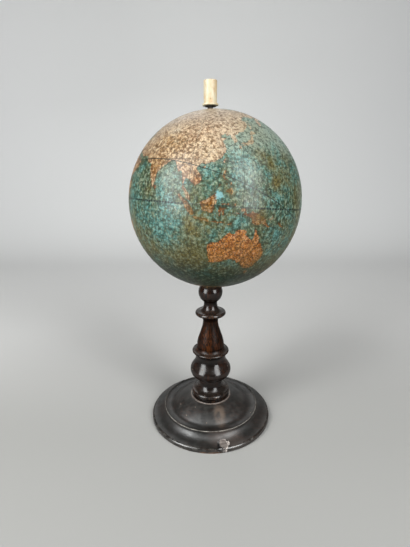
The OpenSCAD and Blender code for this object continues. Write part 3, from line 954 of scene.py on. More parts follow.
@dataclass
class Studio:
    """Camera, seamless grey paper sweep, two tall soft windows and a small light behind. Sizes in metres."""

    lens: float = 23.03
    shift: float = 0.030
    eye: Triple = (-0.00460, -0.2776, 0.2149)
    pitch: float = 71.30
    roll: float = -0.35
    sensor_mm: float = 36.0
    paper: str = "#918f8d"
    room: str = "#e9ecee"
    room_strength: float = 0.11
    window_tint: str = "#fbfdfd"
    aim: float = 0.15
    front_y: float = -1.6
    wall_h: float = 2.0
    wall_y: float = 1.25
    sweep: float = 0.7
    half_width: float = 2.2

    def build(self) -> None:
        """Set up the camera, the sweep, both windows, the light behind and the room's own light."""
        self.build_camera()
        self.build_sweep()
        self.build_window("left_window", -52.0, 24.0, 1.0, (0.5, 1.2), 16.0)
        self.build_window("right_window", 41.0, 26.0, 1.05, (0.46, 1.15), 13.2)
        self.build_window("back_light", -172.0, 38.0, 1.2, (0.5, 0.4), 0.9)
        world = bpy.data.worlds.new("room")
        world.use_nodes = True
        back = world.node_tree.nodes["Background"]
        back.inputs["Color"].default_value = linear(self.room)
        back.inputs["Strength"].default_value = self.room_strength
        bpy.context.scene.world = world
        bpy.context.scene.view_settings.view_transform = "Standard"

    def build_camera(self) -> None:
        """Place the camera as the photograph's was."""
        lens = bpy.data.cameras.new("camera")
        lens.lens, lens.sensor_width, lens.shift_y = self.lens, self.sensor_mm, self.shift
        lens.clip_start, lens.clip_end = 0.01, 20.0
        camera = bpy.data.objects.new("camera", lens)
        turn = Matrix.Rotation(math.radians(self.pitch), 4, "X") @ Matrix.Rotation(math.radians(self.roll), 4, "Z")
        camera.matrix_world = Matrix.Translation(self.eye) @ turn
        bpy.context.scene.collection.objects.link(camera)
        bpy.context.scene.camera = camera

    def build_sweep(self) -> None:
        """Roll the backdrop: floor, a quarter-round bend and a wall."""
        bm = bmesh.new()
        start = [bm.verts.new((side * self.half_width, self.front_y, 0)) for side in (-1, 1)]
        edge = bm.edges.new(start)
        out = bmesh.ops.extrude_edge_only(bm, edges=[edge])["geom"]
        line = [v for v in out if isinstance(v, bmesh.types.BMVert)]
        bmesh.ops.translate(bm, verts=line, vec=(0, self.wall_y - self.sweep - self.front_y, 0))
        edges = [e for e in out if isinstance(e, bmesh.types.BMEdge)]
        last = bmesh.ops.spin(bm, geom=line + edges, cent=(0, self.wall_y - self.sweep, self.sweep), axis=(1, 0, 0),
                              angle=math.pi / 2, steps=24)["geom_last"]
        top = [e for e in last if isinstance(e, bmesh.types.BMEdge)]
        rise = bmesh.ops.extrude_edge_only(bm, edges=top)["geom"]
        bmesh.ops.translate(bm, verts=[v for v in rise if isinstance(v, bmesh.types.BMVert)], vec=(0, 0, self.wall_h))
        bmesh.ops.recalc_face_normals(bm, faces=bm.faces)
        mesh = bpy.data.meshes.new("paper_sweep")
        bm.to_mesh(mesh)
        bm.free()
        mesh.shade_smooth()
        m = Sheet("seamless background paper")
        tooth = m.noise(m.stretched((1.2, 1.2, 1.2)), 4.0, 0.6)
        drift = m.noise(m.stretched((600.0, 600.0, 600.0)), 1.0, 0.4)
        colour = m.mix(m.ramp(drift, 0.3, 0.7, 0.0, 0.06), self.paper, "#9c9d98")
        side, back, _ = m.axes(m.place)
        path = m.add("LightPath").outputs
        seen = path["Is Camera Ray"]
        # Painted light: camera rays see the paper paler than it throws light on the object, lighter towards the back
        # and in the upper corners; polish mirrors it painted paler behind, a painted reflection
        behind = m.times(m.ramp(back, 0.35, 0.6), m.ramp(m.size(side), 1.2, 0.6))
        colour = m.mix(m.times(path["Is Glossy Ray"], behind), colour, "#d8d8d6")
        colour = m.mix(seen, colour, "#a9a8a5")
        colour = m.mix(m.times(seen, m.ramp(back, -0.05, 0.2)), colour, "#d1d0ce")
        colour = m.mix(m.times(seen, m.ramp(back, 0.1, 0.9)), colour, "#f8f8f7")
        corner = m.times(m.ramp(m.size(side), 0.25, 0.95), m.ramp(back, 0.5, 1.2))
        colour = m.mix(m.times(seen, corner, 0.7), colour, "#ffffff")
        # Painted glow: the paper gives off light for camera rays on the left, towards the back
        painted_glow = m.times(seen, m.ramp(side, -0.25, -1.0), m.ramp(back, 0.3, 1.2, 0.0, 0.11))
        mesh.materials.append(m.finish({"Roughness": 0.85, "Specular IOR Level": 0.25,
                                        "Emission Color": (1, 1, 1, 1)},
                                       {"Base Color": colour, "Normal": m.bump(tooth, 0.01),
                                        "Emission Strength": painted_glow}))
        sweep = bpy.data.objects.new("paper_sweep", mesh)
        bpy.context.scene.collection.objects.link(sweep)

    def build_window(self, name: str, azimuth: float, elevation: float, distance: float,
                     size: tuple[float, float], power: float) -> None:
        """Hang one soft window.

        Args:
            name: the lamp's name.
            azimuth: its direction in degrees to the right of the camera's side.
            elevation: its height in degrees.
            distance: how far it is from the object, in metres.
            size: its width and height in metres.
            power: its power in watts.
        """
        lamp = bpy.data.lights.new(name, "AREA")
        lamp.shape, (lamp.size, lamp.size_y), lamp.energy = "RECTANGLE", size, power
        lamp.color = linear(self.window_tint)[:3]
        holder = bpy.data.objects.new(name, lamp)
        a, e = math.radians(azimuth), math.radians(elevation)
        away = Vector((math.sin(a) * math.cos(e), -math.cos(a) * math.cos(e), math.sin(e)))
        holder.matrix_world = (Matrix.Translation(Vector((0, 0, self.aim)) + away * distance)
                               @ away.to_track_quat("Z", "Y").to_matrix().to_4x4())
        bpy.context.scene.collection.objects.link(holder)


class Land(Enum):
    """Hand-laid washes of the printed map's land, as sRGB."""

    ASIA = "#dcc2a2"
    EUROPE = "#d8b98c"
    AFRICA = "#c99a63"
    INDIES = "#a26200"
    AUSTRALIA = "#d47200"
    AMERICA = "#c9a56a"
    SOUTH_AMERICA = "#bd8a4e"
    POLAR = "#cbbf9f"
    ISLES = "#a07a24"


@dataclass(frozen=True)
class Coast:
    """One printed coastline, written as pairs of longitude east of Greenwich and latitude in degrees."""

    name: str
    wash: Land
    words: str
    cap: bool = False

    def points(self) -> np.ndarray:
        """Read the coastline's points.

        Returns:
            An array of longitude and latitude in degrees.
        """
        return np.array([[float(n) for n in pair.split(",")] for pair in self.words.split()])


COASTS = (
    Coast("eurasia", Land.ASIA, """
-9,37 -9.5,38.7 -8.8,41 -9.2,43 -5,43.6 -2,43.4 -1.3,45 -2.2,47 -4.7,48.4 -1.5,48.7 -1.6,49.6 0.2,49.6 1.6,50.8
3.4,51.4 4.6,52.8 7,53.5 8.6,53.9 8.2,55.5 8.2,57 10.5,57.6 10.4,56.4 9.6,55 10.9,54.2 14,54 18.5,54.7 21,55.3
21.4,57.4 24,57.2 23.6,59.1 28,59.6 30,60 25,60.2 22,60.5 21.3,61.5 22,63.5 25,65 22.5,65.8 21,64.5 17.5,62 17.3,60.7
18.8,59.7 16.6,58.3 16,56.5 14.3,55.5 12.8,55.6 11.5,58 10.5,59.2 8,58.1 5.6,59 5,61.5 8,63.4 12,66 14.6,68.4 19,69.8
25.5,71 31,70 36,69.1 41,67.4 38,66.2 33.4,66.6 35,64.3 38.5,64 40.5,64.8 40,66 44,66 44,68.3 47,67.2 54,68.5 60,68.8
66.5,69 67,71.4 68.8,73 72.5,72.6 72.4,69 74,68 75,71.8 80,72.5 87,75 98,76.3 104,77.6 113,75.8 110,74 113,73.6 120,73
127,73.4 131,71 140,72.5 152,71 160,69.7 170,69.6 180,69 190,66 186,64.6 180,64.9 178,62.6 172,60.5 166,60 163.4,58
162.6,56 160,53 156.8,51 155.8,54.5 156.6,57 161,60.2 164,62.3 160,61.5 155,59.3 150,59.5 142,59.2 137.5,55 138.2,53.8
141,53 140.5,49.5 138,46.5 135,43.3 131.4,42.9 129.8,41 127.6,39.7 129.2,37.2 129,35.3 126.5,34.5 126.4,36.8 125,38
125,39.7 121.6,39 121.4,40.7 118.2,39 119,37.3 122.4,37.2 119.4,35 120.8,33 121.8,31 121.6,28.7 119.8,25.6 117,23.6
114.4,22.4 111.8,21.6 110.3,20.6 109.7,21.5 108,21.5 106.4,20 105.8,18.6 107,16.8 108.8,15 109.3,12.2 107.4,10.5
105.6,8.9 104.8,10.3 102.6,12 101.2,12.9 100.4,13.4 99.6,11.4 99.3,9.8 100.4,8 101.6,6.6 103.2,4.6 103.9,2.2 104,1.4
102.6,2 101.2,3.4 100.3,5.8 98.6,8 98.5,11.2 97.8,14.2 97,16.8 95.2,15.9 94.4,17.8 92.6,20.9 91,22.6 88.6,21.8
86.6,20.6 85,19.4 82.5,16.8 80.9,15.4 80.5,13 80.2,10.6 79.5,8.2 78.8,7.2 77.8,9.6 76.1,13 74.3,17 73.2,20.8 71,20.8
69,22.2 67.3,24.4 66.4,25.3 61.5,25.1 57.3,25.8 56.5,27.1 52,27.7 50,30 48,30 48.2,28.5 50,26.5 51.2,25.6 51.6,24.2
54,24.2 56.3,26 56.8,24.3 59.8,22.5 57.7,19 55,17 52,15.6 45,12.8 43.5,12.8 42.7,16 39,21.3 37,25 35.1,28.2 34.9,29.5
34.3,31.3 35,32.7 36,35.8 36,36.7 32,36.1 30.5,36.6 28,36.7 26.5,38.5 26.4,39.6 29,41 31.4,41.3 33,42 35.3,42 38.5,41
41.5,41.6 39,44.2 37.4,45.1 39,47.2 35.4,46.3 36.3,45.3 33.6,44.5 33.2,46.1 31,46.6 28.9,45 27.8,42.8 28.8,41.3
26,40.7 23.6,40.4 24,38 22.8,36.5 21.4,37.6 19.5,41.4 15.2,44.3 13.7,45.6 12.3,45 13.6,43.5 16,41.8 18.4,40.2 17,40.4
17,38.9 15.8,38 15.7,40 12.4,41.7 10.3,43.3 8.8,44.4 6,43.2 3.2,43.2 3,41.8 0.8,40.8 -0.3,39 -0.7,37.7 -2,36.8
-5.4,36.1 -6.4,36.8 -7.6,37.1"""),
    Coast("inland sea", Land.ASIA, """
47.5,45.5 50,46.8 53,46.7 53,45 51,44.5 52.7,42 54,41 53.5,39 53.8,37 50,37.4 49,39.5 49.5,40.5 47.7,42.8 47,44.5"""),
    Coast("african main", Land.AFRICA, """
-6,35.8 -2,35.1 3,36.8 9.8,37.3 11,35 10.2,34 15,32.3 18.4,30.6 20,32.5 23,32.6 29,30.9 32.3,31.3 34.1,31.1 34.7,29.5
32.8,29.6 33.8,27.3 35.5,24 37.2,21 37.5,18.5 39.5,15.3 43.1,12 44.5,10.5 51.2,11.9 50,8 46,2.5 42,-1.2 39.5,-4.5
39.5,-8 40.6,-11 40.6,-15 36.5,-18.8 35.3,-24 32.8,-26 32.5,-28.6 30.5,-31 26,-33.8 20,-34.8 18.3,-34 18,-31.5
15.2,-27 14.4,-22 11.8,-17.5 13.6,-12 12.3,-6 9,-1 9.6,3.6 8.5,4.6 6,4.3 4.3,6.3 -2,4.8 -7.6,4.4 -13,8.5 -16.8,12.5
-17.4,14.7 -16.2,19 -17,21 -14.5,26 -10,29.5 -9.7,31.5 -6.8,34.1"""),
    Coast("madagascar", Land.AFRICA, "49.3,-12 50.4,-15.5 47.2,-24.8 44,-25 43.5,-21.5 44.5,-16.3"),
    Coast("northern america", Land.AMERICA, """
-168,65.7 -162,66.5 -166,68.3 -156.5,71.3 -141,69.7 -128,70 -115,68.3 -108,68 -95,68 -94,71.8 -88,68.5 -82,69.5
-81.5,67.5 -87,65.5 -92,62.5 -94.7,59 -92.5,57 -85,55.3 -82.3,53 -79.5,51.5 -79,54.5 -77,57 -78,62.4 -72,61.5 -69.5,59
-65,60 -62,57 -56,53 -57,51.5 -60,50.2 -66.5,50.2 -70,47 -65.2,48.6 -64.8,47 -61,45.6 -65.7,43.5 -67,44.8 -70.5,43.3
-70,41.7 -74,40.6 -75.5,38 -75.6,35.3 -81,31.8 -80,26.8 -80.6,25.2 -82.7,28 -84,30 -89.5,30.2 -91,29.3 -95,29 -97.3,27
-97.8,22.5 -95.5,18.7 -92,18.5 -90.3,21 -87,21.5 -88.3,16 -83.3,15 -83.7,11 -81.5,9 -77.3,8.4 -78.4,7.6 -80,8.3
-81,7.3 -83.5,8.5 -85.8,10.5 -87.5,13 -92,14.5 -94.5,16.2 -100,16.8 -105.5,20.5 -109.3,25.7 -112.5,30 -114.7,31.7
-112.7,28 -109.5,23 -112,25.5 -115,29 -117.2,32.6 -120.6,34.6 -124,40 -124.2,43 -124.6,48.2 -128,51.5 -131.5,55
-136.5,58 -144,60 -150,60 -153,58.8 -158,56 -164.5,54.6 -159.5,57.2 -162,59 -165,61.5 -161,64.2"""),
    Coast("southern america", Land.SOUTH_AMERICA, """
-77.2,8.3 -75.5,10.7 -71.7,12.3 -71.5,10.8 -62,10.7 -57,6 -51.5,4.3 -50,0 -44.3,-2.6 -38.5,-3.8 -35.2,-5.5 -34.9,-8
-37,-11 -39,-13 -39,-17.8 -41,-22 -44.5,-23 -48.5,-25.7 -48.7,-28.5 -52,-32.5 -53.7,-34.3 -58,-34.5 -57,-36.5
-58,-38.3 -62.2,-39 -65,-41 -65,-43.5 -67.5,-46 -65.8,-48 -69,-51 -68.5,-52.5 -65.2,-54.8 -69,-55.3 -73.5,-52.8
-75.5,-50 -74.5,-45.5 -73.2,-41.5 -73.5,-37.3 -71.5,-31 -70.3,-24 -70.4,-18.4 -76.2,-14 -81.2,-6 -80,-3.2 -81,-1
-79,1.8 -77.2,4 -78.2,7.4"""),
    Coast("greenland", Land.POLAR, """
-73,78.3 -66,80.6 -60,82 -35,83.5 -20,81.5 -20,75 -25,70 -33,68 -40,65 -43.5,60 -50,62.5 -53.5,67 -54,71 -60,76"""),
    Coast("baffin", Land.POLAR, "-62,66.5 -65,63 -72,64 -78,64.7 -73,68 -88,70.5 -86,73.5 -78,73 -70,70.5"),
    Coast("ellesmere", Land.POLAR, "-88,76.5 -78,76.5 -68,79.6 -63,82.6 -80,83 -92,81"),
    Coast("victoria", Land.POLAR, "-117,70 -105,69 -101,70 -106,73 -115,73.3"),
    Coast("banks", Land.POLAR, "-124,72 -120,71.6 -116,74 -122,74.3"),
    Coast("spitsbergen", Land.POLAR, "11,79.4 15,76.8 21,78.4 26,80 17,80"),
    Coast("novaya zemlya", Land.POLAR, "52,71 57,70.6 56,73.4 68,76.6 60,76 54,73.4"),
    Coast("northern isles", Land.POLAR, "95,80.6 104,79 98,79"),
    Coast("new siberia", Land.POLAR, "138,75.6 148,75.2 143,73.6"),
    Coast("iceland", Land.EUROPE, "-24,65.5 -22.5,64 -18.5,63.5 -14,64.7 -16,66.4 -22,66.3"),
    Coast("britain", Land.EUROPE, """
-5.5,50 1.3,51.2 1.7,52.7 0,53.5 -2,55.8 -2,57.5 -3.2,58.6 -5,58.5 -5.7,56.3 -3.2,54.9 -4.6,53 -5.2,51.8 -3.2,51.3"""),
    Coast("ireland", Land.EUROPE, "-10,51.7 -6.3,52.2 -6,54.5 -8,55.3 -10,54"),
    Coast("sicily", Land.EUROPE, "12.5,38 15.6,38.2 15,36.7"),
    Coast("sardinia", Land.EUROPE, "8.3,41 9.7,41 9.6,39.2 8.5,39"),
    Coast("crete", Land.EUROPE, "23.6,35.5 26.2,35.3 24.8,34.9"),
    Coast("cyprus", Land.EUROPE, "32.3,35 34.5,35.6 33.4,34.6"),
    Coast("cuba", Land.AMERICA, "-84.8,21.9 -82,23.1 -77,21.8 -74.3,20.2 -77.6,19.9 -78.4,21 -82,22.4"),
    Coast("hispaniola", Land.AMERICA, "-74.4,18.5 -72.6,19.9 -68.5,18.6 -71.6,17.8"),
    Coast("newfoundland", Land.AMERICA, "-59.2,47.7 -55.8,51.4 -53,47 -56,47"),
    Coast("falklands", Land.SOUTH_AMERICA, "-61,-51.4 -58,-51.4 -59,-52.3"),
    Coast("ceylon", Land.INDIES, "79.9,9.6 81.3,8.5 81.8,7 80.6,5.9 79.9,7"),
    Coast("hainan", Land.ASIA, "108.7,19.3 110.4,20.1 111,19.6 109.6,18.3"),
    Coast("formosa", Land.ASIA, "120.1,23 121.5,25.3 121.7,24 120.8,22"),
    Coast("honshu", Land.ISLES, """
131,34.2 133,35.5 136,35.7 137,37.3 139.5,38.6 140,40.5 141.3,41.4 142,39.6 140.9,36 139,34.8 136.8,34.4 135.8,33.6
134.5,34.6"""),
    Coast("kyushu", Land.ISLES, "129.8,33 131.8,33.6 131.3,31.4 130.2,31.3"),
    Coast("shikoku", Land.ISLES, "132.5,33.8 134.7,34.2 134,33.2 132.8,32.9"),
    Coast("yezo", Land.ISLES, "140,41.6 141.7,45.4 145.3,43.6 143.2,42"),
    Coast("sakhalin", Land.ASIA, "142,46 142.3,53.3 143,54.3 143.2,49.5 144.4,49 143,47"),
    Coast("luzon", Land.ISLES, "120.3,16 120.8,18.6 122.2,18.4 121.6,16 121.8,14.2 124,13 121,13.7 120.2,14.8"),
    Coast("mindanao", Land.ISLES, "122,7 123.5,8.6 125.5,9.8 126.5,7.5 125.5,5.8 124,7.4"),
    Coast("visayas", Land.ISLES, "122,11.8 123.2,11.4 122.6,10.4"),
    Coast("samar", Land.ISLES, "124.3,12.5 125.5,12.2 125.3,10.2 124.6,10.8"),
    Coast("palawan", Land.ISLES, "117.3,8.4 119.4,11.3 119.3,10.2"),
    Coast("borneo", Land.INDIES, """
109.2,1.6 111.2,2.4 113,3.1 114.8,4.7 116.8,6.8 119,5.2 117.9,4 118,2.2 117.5,0.8 116.5,-1.4 116.2,-3.6 114.6,-4
113,-3.2 111.4,-3.2 110.2,-2.8 110,-1.2 109,0.2"""),
    Coast("sumatra", Land.INDIES, """
95.6,5.5 97.6,5 99.2,3.4 100.8,2 103.2,0.1 104.6,-1.8 106.1,-3.3 105.8,-5.6 104.4,-5.7 102.4,-4 100.4,-1 98.7,1.6
97,3.2"""),
    Coast("java", Land.INDIES, """
105.2,-6.7 106.2,-5.9 108.6,-6.6 110.8,-6.3 112.7,-6.8 114.4,-7.7 114.5,-8.6 110,-8.1 106.6,-7.4"""),
    Coast("celebes", Land.INDIES, """
120.8,1.3 124.8,1.6 124.3,0.5 120.3,0.5 120,-0.8 121.3,-0.9 123.2,-0.7 123,-1.2 121.7,-1.9 122.4,-3.2 122.8,-4.8
121.6,-4.7 121,-2.9 120.5,-3 120.4,-5.5 119.5,-5.4 119.5,-3.4 118.9,-2.6 119.8,-0.1"""),
    Coast("lesser sundas", Land.INDIES, "115,-8.2 117,-8.1 119.2,-8.2 122.9,-8 122.8,-8.7 119.4,-8.9 116,-8.9"),
    Coast("timor", Land.INDIES, "123.6,-10.2 125,-8.9 127.2,-8.4 126.5,-9.1 124.8,-10.2"),
    Coast("sumba", Land.INDIES, "119,-9.5 120.5,-9.7 120.6,-10.3 119.3,-9.9"),
    Coast("halmahera", Land.INDIES, "127.5,1.9 128.6,1.4 128.2,0.2 128.2,-0.8 127.6,0"),
    Coast("ceram", Land.INDIES, "128,-3.1 130.8,-3 130.5,-3.7 128.2,-3.6"),
    Coast("buru", Land.INDIES, "126,-3.1 127.2,-3.1 126.8,-3.9"),
    Coast("new guinea", Land.INDIES, """
131,-0.7 132.8,-0.3 134.2,-0.8 134.4,-2.4 135.3,-3.2 137.8,-1.7 141,-2.6 144.5,-4 146,-5.4 148,-6.2 147.2,-7
148.6,-8.4 150.8,-9.8 149.4,-10 147,-9 144.8,-7.8 143.2,-8.9 141,-9 138.2,-8.1 138.6,-6.8 138,-5.4 134.4,-4.1 133,-3.9
132.9,-2.9 133.8,-2.3 132,-2.1"""),
    Coast("new britain", Land.ISLES, "148.4,-5.6 150.5,-5.3 152,-4.2 152.3,-4.9 150.6,-6.2"),
    Coast("new ireland", Land.ISLES, "150.8,-2.7 153,-4.5 152.6,-4.8"),
    Coast("bougainville", Land.ISLES, "154.7,-5.4 156,-6.8 155.2,-6.4"),
    Coast("solomons", Land.ISLES, "156.8,-6.9 159.8,-8.3 161.4,-9.6 162.4,-10.8 159.8,-9.9 157.2,-8.2"),
    Coast("new caledonia", Land.ISLES, "164,-20 167,-22.2 166.3,-22.5 164,-20.9"),
    Coast("hebrides", Land.ISLES, "166.6,-14.6 167.4,-15.8 168.4,-17.8 167.4,-16.6"),
    Coast("fiji", Land.ISLES, "177.2,-17.5 178.8,-17.7 178,-18.4"),
    Coast("hawaii", Land.ISLES, "-156,20.2 -154.8,19.5 -155.8,18.9"),
    Coast("northern zealand", Land.ISLES, """
172.8,-34.5 174.8,-36.5 176,-37.6 178.5,-37.8 177,-39.5 175.3,-41.6 173.8,-39.3 174.8,-38"""),
    Coast("southern zealand", Land.ISLES, """
172.7,-40.6 174.2,-41.5 172.8,-43.6 170.8,-45.8 168.5,-46.6 166.5,-45.8 168.5,-44 171.3,-42"""),
    Coast("tasmania", Land.AUSTRALIA, "144.7,-40.7 148.2,-40.9 148,-42.9 146.8,-43.5 145.4,-42.2"),
    Coast("australia", Land.AUSTRALIA, """
114.4,-21.6 113.9,-23.8 114.3,-26 114.6,-28.8 115.7,-31.6 115.4,-33.8 117.6,-34.4 119.8,-33.5 122.8,-33.4 125.5,-32
128.5,-31 131.5,-31 134,-32 135.6,-33.8 137.4,-32.3 138,-34.6 139.4,-35.8 140.8,-37.4 143.6,-38 146.3,-38.4
149.5,-36.6 150.7,-34 152.4,-31 153,-28 152.2,-25 149.8,-22.8 147.8,-20 145.8,-18.4 144.9,-15.2 143.3,-14 142,-10.9
141.2,-12.8 141.4,-15.6 140.8,-17.6 139,-17.2 137.2,-15.4 135.6,-14.6 136.2,-12.6 134.4,-12 132.2,-11.6 130.6,-12.4
129.4,-14.6 127.8,-14.6 126.4,-13.8 124.4,-15.4 123.2,-17 121.8,-17.8 120.6,-19.4 118.4,-20.2 116.4,-20.4"""),
    Coast("southern land", Land.POLAR, """
-180,-78 -160,-78 -150,-77 -135,-74.5 -110,-75 -100,-72.5 -80,-73 -67,-68 -62,-64.5 -58,-63.5 -61,-67 -62,-74 -40,-78
-20,-73 0,-70 20,-70 40,-69 55,-66 70,-68.5 80,-67.5 95,-66 115,-66.5 135,-66 150,-68.5 165,-71 165,-78
180,-78""", cap=True),
)


@dataclass(frozen=True)
class Spot:
    """A soft-edged patch of age or colour on the map: place and reach in degrees, strength up to 1."""

    lon: float
    lat: float
    reach: float
    strength: float
    wide: float = 1.0


def spots(words: str) -> tuple[Spot, ...]:
    """Read soft patches.

    Args:
        words: each one's longitude, latitude, reach, strength and, where it isn't round, its width.

    Returns:
        The patches in their order.
    """
    return tuple(Spot(*map(float, word.split(","))) for word in words.split())


class Age(Enum):
    """What the years did to the print, with painted glare among the rubbed places and painted shade among the grime far
    south: the channel that each kind of patch is painted in.
    """

    GRIME_AND_SHADE = 0
    RUBBED_AND_GLARE = 1
    CLEAN = 2


AGEING: dict[Age, tuple[Spot, ...]] = {
    # Grime patches; the broad ones far south (117,-58 and 90,-70) darken the ball's underside, partly as painted shade
    Age.GRIME_AND_SHADE: spots("""
        117,-58,26,1,2.4 95,-40,14,0.7 150,-46,15,0.65 150,24,5,0.9 144,29,5,0.8 153,14,4,0.8 162,16,7,0.7
        163,28,9,0.5 108,-15,7,0.6 104,-9,6,0.6 105,-2,4.5,0.5 113,-8,6,0.6 143,-5,5,0.5 126,-7,6,0.45 114,0,4,0.35
        124,8,5,0.5 105,8,5,0.45 140,3,7,0.4 60,-20,12,0.45 175,10,12,0.35 -150,-30,22,0.6 -100,-20,16,0.5
        -30,10,18,0.55 -20,-35,18,0.6 30,-45,16,0.6 -130,30,16,0.5 -60,35,14,0.5 10,20,16,0.35 -170,45,14,0.4
        146,50,9,0.85 142,42,7,0.5 78,6,5,0.4 102.8,-35,9,0.6 99,2,4,0.4 90,-70,20,0.8"""),
    # Rubbed patches; those at 88,13 and 136.5,18 are painted glare
    Age.RUBBED_AND_GLARE: spots("""
        88,13,8,0.6 136.5,18,8.5,0.55,1.15 127,33,7,0.55 137,40,9,0.6,1.5 150,50,16,0.5,1.6 174,51,13,1 165,40,6,0.5
        110,66,24,0.75,2 112,25,10,0.45 80,46,7,0.6 62,40,12,0.35 -40,55,18,0.6 -110,60,20,0.6 0,62,18,0.5
        -170,8,12,0.5 -75,-5,10,0.45 20,0,12,0.4 -20,-5,9,0.45"""),
    Age.CLEAN: spots("""
        92,-18,7,0.7,1.2 84,-10,6,0.7 98,-24,6,0.65 112,18,5,0.75 119.3,5.2,5.6,1 60,-6,8,0.6 150,-28,9,0.6
        164,-18,8,0.6 155,-2,6,0.5 133,-8,5,0.5 95,-2,7,0.5 168,20,9,0.4 -160,-12,12,0.6 -115,5,12,0.6 -40,-20,12,0.6
        -10,42,8,0.5 60,8,6,0.5 -50,28,10,0.5 0,-20,12,0.5"""),
}

# Tints laid over the land's washes, each a patch as above with its colour
WASHES: tuple[tuple[Spot, str], ...] = tuple((spots(place)[0], colour) for place, _, colour in (
    word.rpartition(",") for word in """
    82,40,9,0.9,1.2,#dcac5c 90,33,6,0.6,1.4,#c7a066 78,18,9,0.9,#b8843a 64,31,8,0.75,#b18c68 50,22,10,0.8,#cf9a66
    112,28,9,0.6,#e8d3b2 101,42,9,0.85,1.6,#fbdcbc 107,13,3.4,0.85,#bd7430 101,17,7,0.8,#c0986c 100,1,5,0.8,#8c5c2c
    117.5,2,1.6,0.8,#d9b884 110,-7,4,0.8,#85742f 120,-3,4,0.7,#8d6436 134,-26,9,0.4,#cf8024 118,-22,6,0.4,#cf7818
    82.1,41.9,2.6,0.9,1.3,#fff6dc 88.1,34.3,1.6,0.8,#fdf0d0 70,48,10,0.7,1.5,#a08774 138,37,7,0.8,#84896c
    127.5,37,3.5,0.7,#a39a80 100,62,22,0.5,2,#a9927f 140,40,8,0.6,#a99670 35,50,14,0.5,#cfae7c 5,46,8,0.6,#d9a88a
    -100,42,14,0.5,#d9ba86 -55,-10,12,0.4,#c98a50 20,-25,9,0.5,#c58a63 5,24,12,0.5,#d4ad72""".split()))


